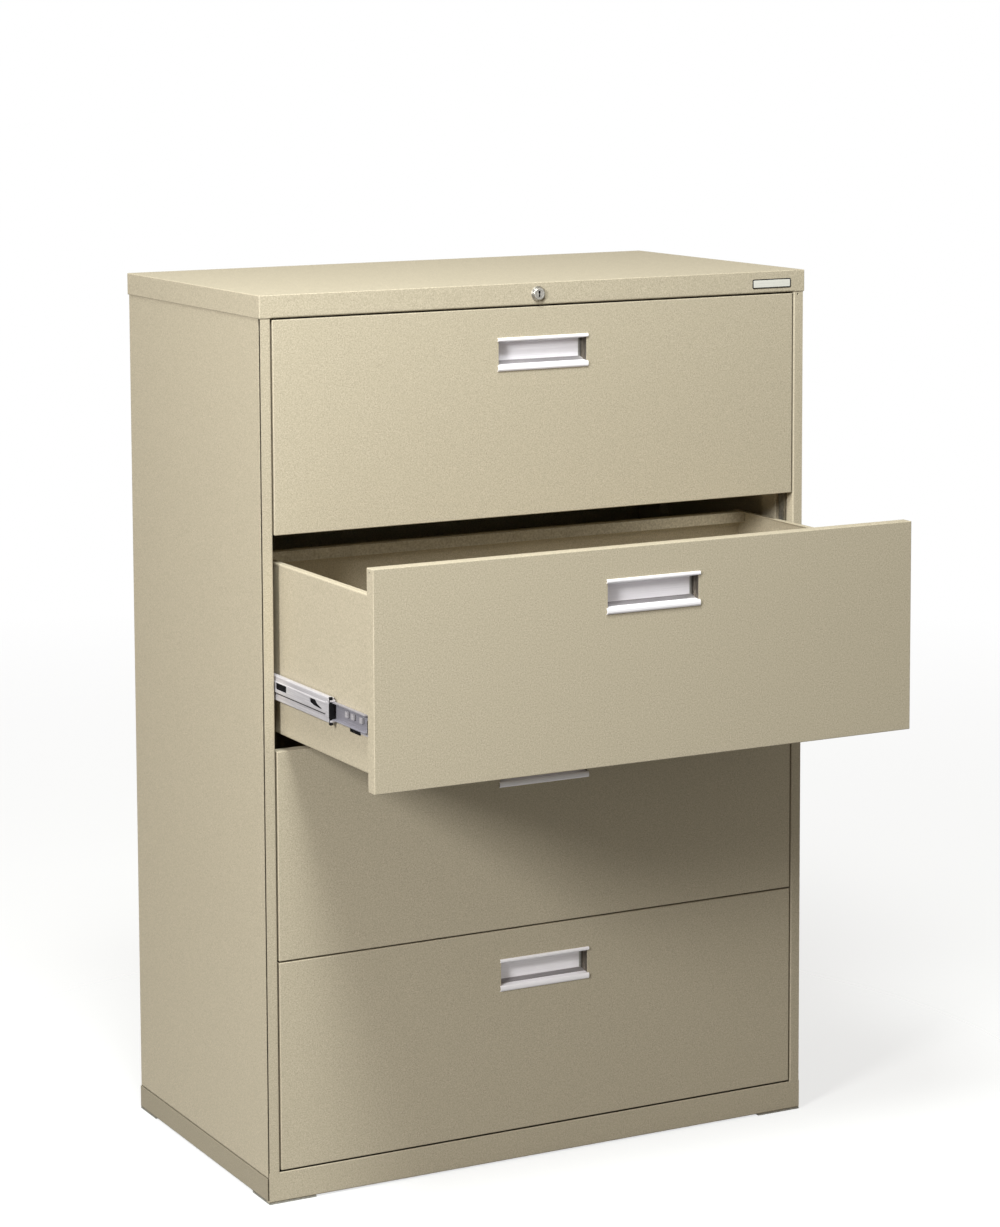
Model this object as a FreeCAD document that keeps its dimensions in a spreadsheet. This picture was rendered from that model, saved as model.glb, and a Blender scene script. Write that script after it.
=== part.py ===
import FreeCAD, Part
import math
import os
import re

import Sketcher

# Four-drawer lateral filing cabinet.
# X is the width, -Y is the front, +Z is up. The origin is on the floor, under the middle of the case.
# Every drawer slides towards -Y. Drawer 2 is stored open, the others are stored shut.

SIZES = {
    # Case
    "case_width": 914.4,
    "case_depth": 489,
    "case_height": 1320.8,
    "foot_gap": 3,
    "sheet": 1.2,
    "header_height": 34.4,
    "header_flange": 15,
    "rail_height": 44.8,
    "skirt_height": 34.3,
    "skirt_seam": 0.4,
    "base_flange": 12,
    "panel_flange": 24,
    "gap": 2.5,
    "stile_width": 17,
    "stile_groove": 0.9,
    # Front posts, from the stile's face backwards
    "stile_return": 18.5,
    "rod_recess_length": 31,
    "rod_recess_depth": 7,
    "post_face_length": 38,
    # Rear posts
    "rear_post_setback": 94.5,
    "rear_post_length": 50,
    # Feet
    "foot_plate_width": 75,
    "foot_plate_depth": 60,
    "foot_plate_sheet": 2.5,
    "foot_cup": 44,
    "foot_cup_inset": 47,
    "foot_cup_setback": 39,
    "foot_cup_top": 16.5,
    "glide_radius": 13,
    "glide_height": 6,
    "glide_edge": 1.5,
    "glide_stem_radius": 4,
    "glide_stem_top": 29,
    "glide_slot_width": 1.2,
    "glide_slot_depth": 2,
    "thread_clearance": 0.05,
    # Lock, its bar and its rod
    "lock_drop": 16.8,
    "lock_offset": 8.5,
    "lock_ring_radius": 11.5,
    "lock_ring_height": 5,
    "lock_ring_edge": 1,
    "lock_barrel_radius": 9.5,
    "lock_barrel_length": 20,
    "lock_nut_radius": 12.5,
    "lock_nut_height": 3,
    "lock_wall_clearance": 0.1,
    "plug_radius": 6,
    "plug_clearance": 0.05,
    "plug_tail": 2.5,
    "keyway_width": 1.6,
    "keyway_height": 7.5,
    "keyway_depth": 4,
    "cam_radius": 13,
    "cam_sheet": 2,
    "crank_radius": 10,
    "crank_pin_radius": 2,
    "crank_pin_length": 5.5,
    "pin_clearance": 0.4,
    "bar_gap": 1.5,
    "bar_sheet": 3,
    "bar_height": 12,
    "bar_tail": 9,
    "bar_head_width": 34,
    "bar_head_height": 25.6,
    "rod_pin_inset": 20,
    "rod_pin_rise": 4.5,
    "rod_tab_height": 10,
    "rod_tab_sheet": 2,
    "rod_tab_gap": 1,
    "rod_tab_width": 26,
    "rod_gap": 1,
    "rod_sheet": 4,
    "rod_width": 13.5,
    "rod_tail": 12,
    "lug_reach": 10.7,
    "lug_sheet": 3,
    "lug_height": 10,
    "lug_lift": 4.5,
    "guide_sheet": 1.2,
    "guide_clearance": 0.3,
    "guide_height": 12,
    "guide_level": 215,
    "bar_guide_depth": 18,
    # Badge plate, left blank
    "badge_width": 68.7,
    "badge_height": 14,
    "badge_inset": 24.4,
    "badge_drop": 11.8,
    "badge_thickness": 1,
    "badge_corner": 2,
    # Screws in the back
    "screw_head_radius": 4,
    "screw_head_height": 1.2,
    "screw_radius": 2,
    "screw_length": 8,
    "screw_inset": 12,
    # Drawer fronts
    "front_depth": 19,
    "front_sheet": 1,
    "front_edge": 1.2,
    "front_side_gap": 2.7,
    "shown_open": 315,
    # Drawer trays
    "tray_sheet": 1.2,
    "tray_rise": 25,
    "tray_drop": 40,
    "tray_back_margin": 2,
    "tray_flange": 9,
    "tray_front_flange": 14,
    # Hanging rails for the folders
    "hanger_setback": 41.5,
    "hanger_back_margin": 20.6,
    "hanger_sheet": 2,
    "hanger_height": 16,
    # Pulls
    "pull_width": 152,
    "pull_height": 49.5,
    "pull_drop": 43.5,
    "pull_depth": 15,
    "pull_wall": 1.2,
    "pull_lip": 1.5,
    "pull_top_lip": 4.5,
    "pull_low_lip": 9,
    "pull_low_bulge": 1.2,
    "pull_valley": 4,
    "pull_end_margin": 1.5,
    "pull_fit": 0.2,
    # Telescopic slides
    "slide_width": 12.7,
    "slide_rise": 90,
    "slide_wall": 1.3,
    "slide_setback": 26.5,
    "slide_back_space": 37.5,
    "drawer_rail_setback": 34.5,
    "case_rail_half": 22,
    "case_rail_flange": 7.7,
    "middle_rail_half": 17,
    "middle_rail_inset": 2.2,
    "middle_rail_flange": 7.5,
    "middle_bead_half": 8,
    "middle_bead_step": 1.4,
    "drawer_rail_half": 13,
    "drawer_rail_flange": 8,
    "ball_clearance": 0.3,
    "cage_length": 60,
    "cage_width": 4,
    "retainer_half": 20,
    "retainer_length": 5,
    "retainer_width": 3,
    # Catches on the drawers' right sides
    "catch_level": 150,
    "catch_height": 10,
    "catch_reach": 6.5,
    "catch_sheet": 4,
    "catch_plate_sheet": 1.5,
    "catch_plate_length": 22,
    "catch_plate_margin": 5,
    "catch_gap": 1,
    # One overrun for every cut
    "overrun": 1,
}

DRAWERS = (1, 2, 3, 4)
OPEN_DRAWER = 2
SIDES = {"left": -1, "right": 1}
# The middle member of a slide makes this share of the drawer's travel
MIDDLE_TRAVEL_SHARE = 0.644
# Places of the lock bar's guides along the way from the lock to the rod
BAR_GUIDE_SHARES = (0.12, 0.48, 0.85)
# Heights of the back's screws, as shares of the case height
SCREW_HEIGHT_SHARES = (0.08, 0.36, 0.64, 0.92)
# Two places closer than this, in millimetres, are the same place
TOLERANCE = 1e-6

doc = FreeCAD.newDocument("filing_cabinet")
sheet = doc.addObject("Spreadsheet::Sheet", "Sizes")
for row, (alias, size) in enumerate(SIZES.items(), start=1):
    sheet.set(f"A{row}", alias)
    sheet.set(f"B{row}", str(size))
    sheet.setAlias(f"B{row}", alias)
doc.recompute()

nodes = []


# Helpers: an expression is text in sheet names, and every length in the document is bound to one

def bound(text):
    """Turn each sheet name in the text into a reference to the sheet."""
    def reference(word):
        return f"Sizes.{word.group()}" if word.group() in SIZES else word.group()
    return re.sub(r"[a-z]\w*", reference, text)


def number(text):
    """Give the present value of an expression."""
    return float(sheet.evalExpression(bound(text)))


def bind(item, field, text):
    item.setExpression(field, bound(text))


def place(item, x, y, z):
    for axis, text in zip("xyz", (x, y, z)):
        bind(item, f"Placement.Base.{axis}", text)


def block(name, low, high):
    """A box between two corners, each three expressions."""
    box = doc.addObject("Part::Box", name)
    for field, start, end in zip(("Length", "Width", "Height"), low, high):
        bind(box, field, f"({end}) - ({start})")
    place(box, *low)
    return box


def rod(name, radius, length, start, along=(0, 0, 1)):
    """A cylinder from a start point along an axis."""
    cylinder = doc.addObject("Part::Cylinder", name)
    bind(cylinder, "Radius", radius)
    bind(cylinder, "Height", length)
    cylinder.Placement.Rotation = FreeCAD.Rotation(FreeCAD.Vector(0, 0, 1), FreeCAD.Vector(*along))
    place(cylinder, *start)
    return cylinder


def fuse(name, pieces):
    whole = doc.addObject("Part::MultiFuse", name)
    whole.Shapes = pieces
    whole.Refine = True
    return whole


def cut(name, base, tool):
    rest = doc.addObject("Part::Cut", name)
    rest.Base = base
    rest.Tool = tool
    return rest


def cut_all(name, base, tools):
    return cut(name, base, tools[0] if len(tools) == 1 else fuse(f"{name}_cuts", tools))


def group(name, pieces):
    """Separate solids that share one node."""
    solids = doc.addObject("Part::Compound", name)
    solids.Links = pieces
    return solids


def node(label, item):
    """Keep an object as one of the cabinet's sub-parts."""
    item.Label = label
    nodes.append(item)
    return item


def between(side, near, far):
    """The lower and upper x of a piece that lies from near to far on one side of the cabinet."""
    return (near, far) if side > 0 else (f"-({far})", f"-({near})")


def side_block(name, side, near, far, low, high):
    """A box on one side of the cabinet: near and far are distances from the middle."""
    first, last = between(side, near, far)
    return block(name, (first, *low), (last, *high))


def draw(body, plane, outline, offset):
    """A closed sketch of straight lines whose corners are bound to the sheet."""
    sketch = body.newObject("Sketcher::SketchObject", f"{body.Name}_sketch")
    origin_plane = next(item for item in body.Origin.OriginFeatures if item.Role == plane)
    sketch.AttachmentSupport = (origin_plane, [""])
    sketch.MapMode = "FlatFace"
    bind(sketch, "AttachmentOffset.Base.z", offset)
    corners = [FreeCAD.Vector(number(u), number(v), 0) for u, v in outline]
    count = len(corners)
    for index, corner in enumerate(corners):
        sketch.addGeometry(Part.LineSegment(corner, corners[(index + 1) % count]))
    for index in range(count):
        sketch.addConstraint(Sketcher.Constraint("Coincident", index, 2, (index + 1) % count, 1))
    for index, (corner, (u, v)) in enumerate(zip(corners, outline)):
        for kind, value, text in (("DistanceX", corner.x, u), ("DistanceY", corner.y, v)):
            constraint = sketch.addConstraint(Sketcher.Constraint(kind, -1, 1, index, 1, value))
            bind(sketch, f"Constraints[{constraint}]", text)
    return sketch


def pad(name, plane, outline, start, length):
    """A body padded from a sketch, from start along the plane's normal: +Z, -Y or +X."""
    body = doc.addObject("PartDesign::Body", name)
    sketch = draw(body, plane, outline, start)
    feature = body.newObject("PartDesign::Pad", f"{name}_pad")
    feature.Profile = sketch
    bind(feature, "Length", length)
    return body


def turned(name, outline, x, y, z):
    """A body revolved from an outline of radius and height, standing at a point."""
    body = doc.addObject("PartDesign::Body", name)
    sketch = draw(body, "XZ_Plane", outline, "0")
    feature = body.newObject("PartDesign::Revolution", f"{name}_turn")
    feature.Profile = sketch
    feature.ReferenceAxis = (sketch, ["V_Axis"])
    feature.Angle = 360
    place(body, x, y, z)
    return body


def rectangle(left, bottom, right, top):
    return [(left, bottom), (right, bottom), (right, top), (left, top)]


def edges_at(item, axis, level):
    """Names of the edges that lie at one level of one axis."""
    picked = []
    for index, edge in enumerate(item.Shape.Edges, start=1):
        places = [getattr(vertex.Point, axis) for vertex in edge.Vertexes]
        if all(math.isclose(place, level, abs_tol=TOLERANCE) for place in places):
            picked.append(f"Edge{index}")
    return picked


def round_edges(body, edges, radius):
    """Fillet some edges of the body's last feature."""
    last = body.Tip
    rounding = body.newObject("PartDesign::Fillet", f"{body.Name}_rounding")
    rounding.Base = (last, edges)
    bind(rounding, "Radius", radius)
    body.Tip = rounding


# Levels and planes of the case
HALF = "case_width / 2"
FRONT = "(-case_depth / 2)"
BACK = "(case_depth / 2)"
LOW = "foot_gap"
TOP = "(foot_gap + case_height)"
PITCH = "((case_height - header_height - rail_height) / 4)"
STILE = "(case_width / 2 - stile_width)"
WALL = "(case_width / 2 - sheet)"
SHELF = "(foot_gap + skirt_height)"
HEADER = "(foot_gap + case_height - header_height + gap / 2)"
RECESS_FRONT = "(-case_depth / 2 + stile_return)"
RECESS_BACK = "(-case_depth / 2 + stile_return + rod_recess_length)"
POST_BACK = "(-case_depth / 2 + stile_return + rod_recess_length + post_face_length)"

# Levels and planes of the drawers and slides, for a drawer that is shut
TRAY_HALF = "(case_width / 2 - stile_width - slide_width)"
FRONT_HALF = "(case_width / 2 - stile_width - front_side_gap)"
FRONT_BACK = "(-case_depth / 2 + front_depth)"
SLIDE_FRONT = "(-case_depth / 2 + slide_setback)"
SLIDE_LENGTH = "(case_depth - slide_setback - slide_back_space)"
TRAY_BACK = f"({SLIDE_FRONT} + {SLIDE_LENGTH} - tray_back_margin)"

# Planes of the lock gear
LOCK_X = "(-lock_offset)"
LOCK_LEVEL = "(foot_gap + case_height - lock_drop)"
CRANK_PIN_X = "(-lock_offset - crank_radius * sqrt(0.5))"
LOCK_FACE = "(-case_depth / 2 - sheet - lock_ring_height)"
CAM_BACK = "(-case_depth / 2 + lock_barrel_length + plug_tail)"
BAR_FRONT = "(-case_depth / 2 + lock_barrel_length + plug_tail + bar_gap)"
BAR_BACK = "(-case_depth / 2 + lock_barrel_length + plug_tail + bar_gap + bar_sheet)"
TAB_FRONT = "(-case_depth / 2 + lock_barrel_length + plug_tail + bar_gap + bar_sheet + rod_tab_gap)"
BAR_LOW = "(foot_gap + case_height - lock_drop - crank_radius - crank_pin_radius - pin_clearance - 2 * sheet)"
ROD_NEAR = "(case_width / 2 - stile_width + rod_gap)"
ROD_FAR = "(case_width / 2 - stile_width + rod_gap + rod_sheet)"
ROD_PIN_X = "(case_width / 2 - stile_width - rod_pin_inset)"
CATCH_FRONT = f"({TAB_FRONT} + lug_sheet + catch_gap)"


def front_top(drawer):
    return f"(foot_gap + case_height - header_height - {drawer - 1} * {PITCH} - gap / 2)"


def front_bottom(drawer):
    return f"(foot_gap + case_height - header_height - {drawer} * {PITCH} + gap / 2)"


def slide_level(drawer):
    return f"({front_bottom(drawer)} + slide_rise)"


def pulled(drawer, plane):
    """A plane of a drawer, moved forward with the one that is stored open."""
    return f"({plane} - shown_open)" if drawer == OPEN_DRAWER else plane


def half_pulled(drawer, plane):
    """A plane of a slide's middle member, moved forward with its drawer."""
    return f"({plane} - {MIDDLE_TRAVEL_SHARE} * shown_open)" if drawer == OPEN_DRAWER else plane


# Case

def top_cap():
    """Top sheet with skirts that lap over the panels, and a flange under the front skirt."""
    half = f"{HALF} + sheet"
    shell = block("cap_shell", (f"-({half})", f"{FRONT} - sheet", HEADER), (half, f"{BACK} + sheet", TOP))
    inside = block("cap_inside", (f"-{HALF}", FRONT, f"{HEADER} - overrun"), (HALF, BACK, f"{TOP} - sheet"))
    flange = block("cap_flange", (f"-{STILE}", f"{FRONT} - sheet", HEADER),
                   (STILE, f"{FRONT} + header_flange", f"{HEADER} + sheet"))
    hole = rod("cap_lock_hole", "lock_barrel_radius + lock_wall_clearance", "sheet + 2 * overrun",
               (LOCK_X, f"{FRONT} - sheet - overrun", LOCK_LEVEL), (0, 1, 0))
    node("top_cap", cut("cap", fuse("cap_folded", [cut("cap_bent", shell, inside), flange]), hole))


def side_panel(name, side):
    """Side sheet with a flange behind, which the back is screwed to."""
    low = f"({SHELF} + skirt_seam)"
    top = f"({TOP} - sheet)"
    panel = side_block(f"{name}_sheet", side, WALL, HALF, (FRONT, low), (BACK, top))
    flange = side_block(f"{name}_back_flange", side, f"{WALL} - panel_flange", WALL,
                        (f"{BACK} - 2 * sheet", low), (f"{BACK} - sheet", top))
    folded = fuse(f"{name}_folded", [panel, flange])
    node(f"{name}_side_panel", cut_all(f"{name}_panel", folded, screw_holes(side)))


def back_panel():
    panel = block("back_sheet", (f"-{WALL}", f"{BACK} - sheet", SHELF), (WALL, BACK, f"{TOP} - sheet"))
    holes = [hole for side in SIDES.values() for hole in screw_holes(side)]
    node("back_panel", cut_all("back", panel, holes))


def screw_places(side):
    """The back's screws on one side, on a line up the edge."""
    return [(f"{side} * ({WALL} - screw_inset)", f"(foot_gap + {share} * case_height)")
            for share in SCREW_HEIGHT_SHARES]


def screw_holes(side):
    """Holes for the back's screws through the back and the side's flange."""
    start = f"{BACK} - 2 * sheet - overrun"
    return [rod("back_hole", "screw_radius", "2 * sheet + 2 * overrun", (x, start, z), (0, 1, 0))
            for x, z in screw_places(side)]


def case_fasteners():
    """Pan-head screws through the back."""
    screws = []
    for x, z in (place for side in SIDES.values() for place in screw_places(side)):
        head = rod("screw_head", "screw_head_radius", "screw_head_height", (x, BACK, z), (0, 1, 0))
        shank = rod("screw_shank", "screw_radius", "screw_length",
                    (x, f"{BACK} - screw_length", z), (0, 1, 0))
        screws.append(fuse("screw", [head, shank]))
    node("case_fasteners", group("screws", screws))


def front_post(name, side):
    """Stile and post, folded from one sheet, with a recess for the lock rod and a face for the slides."""
    outer = f"({WALL} - stile_groove)"
    deep = f"({STILE} + rod_recess_depth)"
    path = [
        (outer, POST_BACK), (outer, FRONT), (STILE, FRONT), (STILE, RECESS_FRONT),
        (deep, RECESS_FRONT), (deep, RECESS_BACK), (STILE, RECESS_BACK), (STILE, POST_BACK),
        (f"{STILE} + sheet", POST_BACK), (f"{STILE} + sheet", f"{RECESS_BACK} + sheet"),
        (f"{deep} + sheet", f"{RECESS_BACK} + sheet"), (f"{deep} + sheet", f"{RECESS_FRONT} - sheet"),
        (f"{STILE} + sheet", f"{RECESS_FRONT} - sheet"), (f"{STILE} + sheet", f"{FRONT} + sheet"),
        (f"{outer} - sheet", f"{FRONT} + sheet"), (f"{outer} - sheet", POST_BACK),
    ]
    outline = [(f"{side} * ({x})", y) for x, y in path]
    node(f"{name}_front_post", pad(f"{name}_stile", "XY_Plane", outline, LOW, f"{TOP} - sheet - {LOW}"))


def rear_posts():
    """Channels near the back that carry the slides' rear ends."""
    near = f"({BACK} - rear_post_setback)"
    far = f"({near} + rear_post_length)"
    path = [
        (WALL, near), (STILE, near), (STILE, far), (WALL, far), (WALL, f"{far} - sheet"),
        (f"{STILE} + sheet", f"{far} - sheet"), (f"{STILE} + sheet", f"{near} + sheet"),
        (WALL, f"{near} + sheet"),
    ]
    posts = [pad(f"{name}_channel", "XY_Plane", [(f"{side} * ({x})", y) for x, y in path],
                 SHELF, f"{TOP} - sheet - {SHELF}") for name, side in SIDES.items()]
    node("rear_posts", group("channels", posts))


def base_pan():
    """Front rail between the stiles, skirts at the sides and back, a shelf and the lower flanges."""
    rail_top = "(foot_gap + rail_height - gap / 2)"
    inner_back = f"({BACK} - sheet)"
    strip_front = f"({POST_BACK} + overrun)"
    flange_top = "(foot_gap + sheet)"
    pieces = [
        block("rail", (f"-{STILE}", FRONT, LOW), (STILE, f"{FRONT} + sheet", rail_top)),
        block("rail_top", (f"-{STILE}", FRONT, f"{rail_top} - sheet"), (STILE, RECESS_FRONT, rail_top)),
        block("rail_step", (f"-{STILE}", f"{RECESS_FRONT} - sheet", f"{SHELF} - sheet"),
              (STILE, RECESS_FRONT, rail_top)),
        block("rail_flange", (f"-{STILE}", FRONT, LOW), (STILE, f"{FRONT} + base_flange", flange_top)),
        block("shelf", (f"-{STILE}", f"{RECESS_FRONT} - sheet", f"{SHELF} - sheet"),
              (STILE, inner_back, SHELF)),
        block("back_skirt", (f"-{WALL}", inner_back, LOW), (WALL, BACK, SHELF)),
        block("back_flange", (f"-{WALL}", f"{BACK} - base_flange", LOW), (WALL, BACK, flange_top)),
    ]
    for name, side in SIDES.items():
        pieces += [
            side_block(f"{name}_skirt", side, WALL, HALF, (FRONT, LOW), (BACK, SHELF)),
            side_block(f"{name}_shelf", side, STILE, WALL,
                       (strip_front, f"{SHELF} - sheet"), (inner_back, SHELF)),
            side_block(f"{name}_flange", side, f"{WALL} - base_flange", WALL,
                       (strip_front, LOW), (BACK, flange_top)),
        ]
    node("base_pan", fuse("base", pieces))


def badge_plate():
    """Small blank plate on the front skirt."""
    right = f"({HALF} - badge_inset)"
    top = f"({TOP} - badge_drop)"
    outline = rectangle(f"{right} - badge_width", f"{top} - badge_height", right, top)
    body = pad("badge", "XZ_Plane", outline, "case_depth / 2 + sheet", "badge_thickness")
    doc.recompute()
    corners = [f"Edge{index}" for index, edge in enumerate(body.Shape.Edges, start=1)
               if math.isclose(abs(edge.tangentAt(edge.FirstParameter).y), 1)]
    round_edges(body, corners, "badge_corner")
    node("badge_plate", body)


# Feet

def foot_centres():
    """Centres of the four feet, seen from above, with their names."""
    x = f"({HALF} - foot_cup_inset)"
    y = "(case_depth / 2 - foot_cup_setback)"
    return [(f"{end}_{name}", f"{side} * {x}", f"{row} * {y}", side, row)
            for end, row in (("front", -1), ("rear", 1)) for name, side in SIDES.items()]


def glide_brackets():
    """Foot plates with a raised cup that a levelling glide is screwed into."""
    plate_low = "(foot_gap - foot_plate_sheet)"
    brackets = []
    for name, x, y, side, row in foot_centres():
        edge = between(side, f"{HALF} - foot_plate_width", HALF)
        depth = between(row, "case_depth / 2 - foot_plate_depth", "case_depth / 2")
        plate = block(f"{name}_plate", (edge[0], depth[0], plate_low), (edge[1], depth[1], LOW))
        cup = block(f"{name}_cup", (f"{x} - foot_cup / 2", f"{y} - foot_cup / 2", plate_low),
                    (f"{x} + foot_cup / 2", f"{y} + foot_cup / 2", "foot_cup_top"))
        hollow = "(foot_cup / 2 - foot_plate_sheet)"
        room = block(f"{name}_room", (f"{x} - {hollow}", f"{y} - {hollow}", f"{plate_low} - overrun"),
                     (f"{x} + {hollow}", f"{y} + {hollow}", "foot_cup_top - foot_plate_sheet"))
        thread = rod(f"{name}_thread", "glide_stem_radius + thread_clearance", "foot_cup_top",
                     (x, y, "foot_gap"))
        brackets.append(cut_all(f"{name}_bracket", fuse(f"{name}_pressing", [plate, cup]), [room, thread]))
    node("glide_brackets", group("brackets", brackets))


def glides():
    """Round levelling feet with a threaded stem and a screwdriver slot on top."""
    for name, x, y, *_ in foot_centres():
        outline = [
            ("0", "0"), ("glide_radius - glide_edge", "0"), ("glide_radius", "glide_edge"),
            ("glide_radius", "glide_height - glide_edge"), ("glide_radius - glide_edge", "glide_height"),
            ("glide_stem_radius", "glide_height"), ("glide_stem_radius", "glide_stem_top"),
            ("0", "glide_stem_top"),
        ]
        foot = turned(f"{name}_foot", outline, x, y, "0")
        slot_low = "glide_stem_top - glide_slot_depth"
        slot = block(f"{name}_slot", (f"{x} - glide_radius", f"{y} - glide_slot_width / 2", slot_low),
                     (f"{x} + glide_radius", f"{y} + glide_slot_width / 2", "glide_stem_top + overrun"))
        node(f"{name}_glide", cut(f"{name}_levelling_glide", foot, slot))


# Lock gear

def lock_housing():
    """Ring on the header's face with a barrel through it, and the nut that holds it from behind."""
    ring = "(lock_ring_height + sheet)"
    outline = [
        ("plug_radius + plug_clearance", "0"), ("lock_ring_radius - lock_ring_edge", "0"),
        ("lock_ring_radius", "lock_ring_edge"), ("lock_ring_radius", "lock_ring_height"),
        ("lock_barrel_radius", "lock_ring_height"), ("lock_barrel_radius", f"{ring} + lock_barrel_length"),
        ("plug_radius + plug_clearance", f"{ring} + lock_barrel_length"),
    ]
    body = turned("housing", outline, LOCK_X, LOCK_FACE, LOCK_LEVEL)
    body.Placement.Rotation = FreeCAD.Rotation(FreeCAD.Vector(0, 0, 1), FreeCAD.Vector(0, 1, 0))
    nut = rod("nut_blank", "lock_nut_radius", "lock_nut_height", (LOCK_X, FRONT, LOCK_LEVEL), (0, 1, 0))
    bore = rod("nut_bore", "lock_barrel_radius", "lock_nut_height + 2 * overrun",
               (LOCK_X, f"{FRONT} - overrun", LOCK_LEVEL), (0, 1, 0))
    node("lock_housing", group("housing_and_nut", [body, cut("nut", nut, bore)]))


def lock_plug():
    """Plug with a keyway, and the crank disc on its tail."""
    length = "(lock_ring_height + sheet + lock_barrel_length + plug_tail - cam_sheet)"
    plug = rod("plug_blank", "plug_radius", length, (LOCK_X, LOCK_FACE, LOCK_LEVEL), (0, 1, 0))
    low, high = f"{LOCK_LEVEL} - keyway_height / 2", f"{LOCK_LEVEL} + keyway_height / 2"
    keyway = block("keyway", (f"{LOCK_X} - keyway_width / 2", f"{LOCK_FACE} - overrun", low),
                   (f"{LOCK_X} + keyway_width / 2", f"{LOCK_FACE} + keyway_depth", high))
    node("lock_plug", cut("plug", plug, keyway))
    disc = rod("crank_disc", "cam_radius", "cam_sheet",
               (LOCK_X, f"{CAM_BACK} - cam_sheet", LOCK_LEVEL), (0, 1, 0))
    pin = rod("crank_pin", "crank_pin_radius", "crank_pin_length",
              (CRANK_PIN_X, CAM_BACK, f"{LOCK_LEVEL} - crank_radius * sqrt(0.5)"), (0, 1, 0))
    node("lock_cam", fuse("cam", [disc, pin]))


def lock_bar():
    """Flat bar that the crank pushes along, with a slanted slot that drives the rod."""
    bar_top = f"{BAR_LOW} + bar_height"
    head_right = f"({ROD_PIN_X} + crank_pin_radius + pin_clearance + bar_tail / 2)"
    head_left = f"({head_right} - bar_head_width)"
    tail = f"({CRANK_PIN_X} - bar_tail)"
    outline = [
        (tail, BAR_LOW), (head_right, BAR_LOW), (head_right, f"{BAR_LOW} + bar_head_height"),
        (head_left, f"{BAR_LOW} + bar_head_height"), (head_left, bar_top), (tail, bar_top),
    ]
    blank = pad("bar_blank", "XZ_Plane", outline, f"-{BAR_BACK}", "bar_sheet")
    half = "(crank_pin_radius + pin_clearance)"
    crank_slot = block("crank_slot",
                       (f"{CRANK_PIN_X} - {half}", f"{BAR_FRONT} - overrun",
                        f"{LOCK_LEVEL} - crank_radius - {half}"),
                       (f"{CRANK_PIN_X} + {half}", f"{BAR_BACK} + overrun",
                        f"{LOCK_LEVEL} - crank_radius * sqrt(0.5) + {half}"))
    slanted = doc.addObject("Part::Box", "slanted_slot")
    bind(slanted, "Length", f"2 * crank_radius + 2 * {half}")
    bind(slanted, "Width", "bar_sheet + 2 * overrun")
    bind(slanted, "Height", f"2 * {half}")
    slanted.Placement.Rotation = FreeCAD.Rotation(FreeCAD.Vector(0, 1, 0), 135)
    place(slanted, ROD_PIN_X, f"{BAR_FRONT} - overrun",
          f"{LOCK_LEVEL} + rod_pin_rise + 2 * {half} * sqrt(0.5)")
    node("lock_bar", cut_all("bar", blank, [crank_slot, slanted]))


def lug_low(drawer):
    return f"({front_bottom(drawer)} + catch_level + catch_height + lug_lift)"


def lock_rod():
    """Upright flat rod in the right post's recess, with a tab and pin on top and a lug for each drawer."""
    pin_level = f"({LOCK_LEVEL} + rod_pin_rise)"
    tab_top = f"({pin_level} + rod_tab_height / 2)"
    upright = block("rod_upright", (ROD_NEAR, TAB_FRONT, f"{lug_low(4)} - rod_tail"),
                    (ROD_FAR, f"{TAB_FRONT} + rod_width", tab_top))
    tab = block("rod_tab", (f"{ROD_NEAR} - rod_tab_width", TAB_FRONT, f"{tab_top} - rod_tab_height"),
                (ROD_NEAR, f"{TAB_FRONT} + rod_tab_sheet", tab_top))
    pin = rod("rod_pin", "crank_pin_radius", "rod_tab_gap + bar_sheet + crank_pin_radius / 2",
              (ROD_PIN_X, TAB_FRONT, pin_level), (0, -1, 0))
    node("lock_rod", fuse("rod_bent", [upright, tab, pin]))
    lugs = [block(f"lug_{drawer}", (f"{ROD_NEAR} - lug_reach", TAB_FRONT, lug_low(drawer)),
                  (ROD_NEAR, f"{TAB_FRONT} + lug_sheet", f"{lug_low(drawer)} + lug_height"))
            for drawer in DRAWERS]
    node("lock_lugs", group("lugs", lugs))


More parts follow.
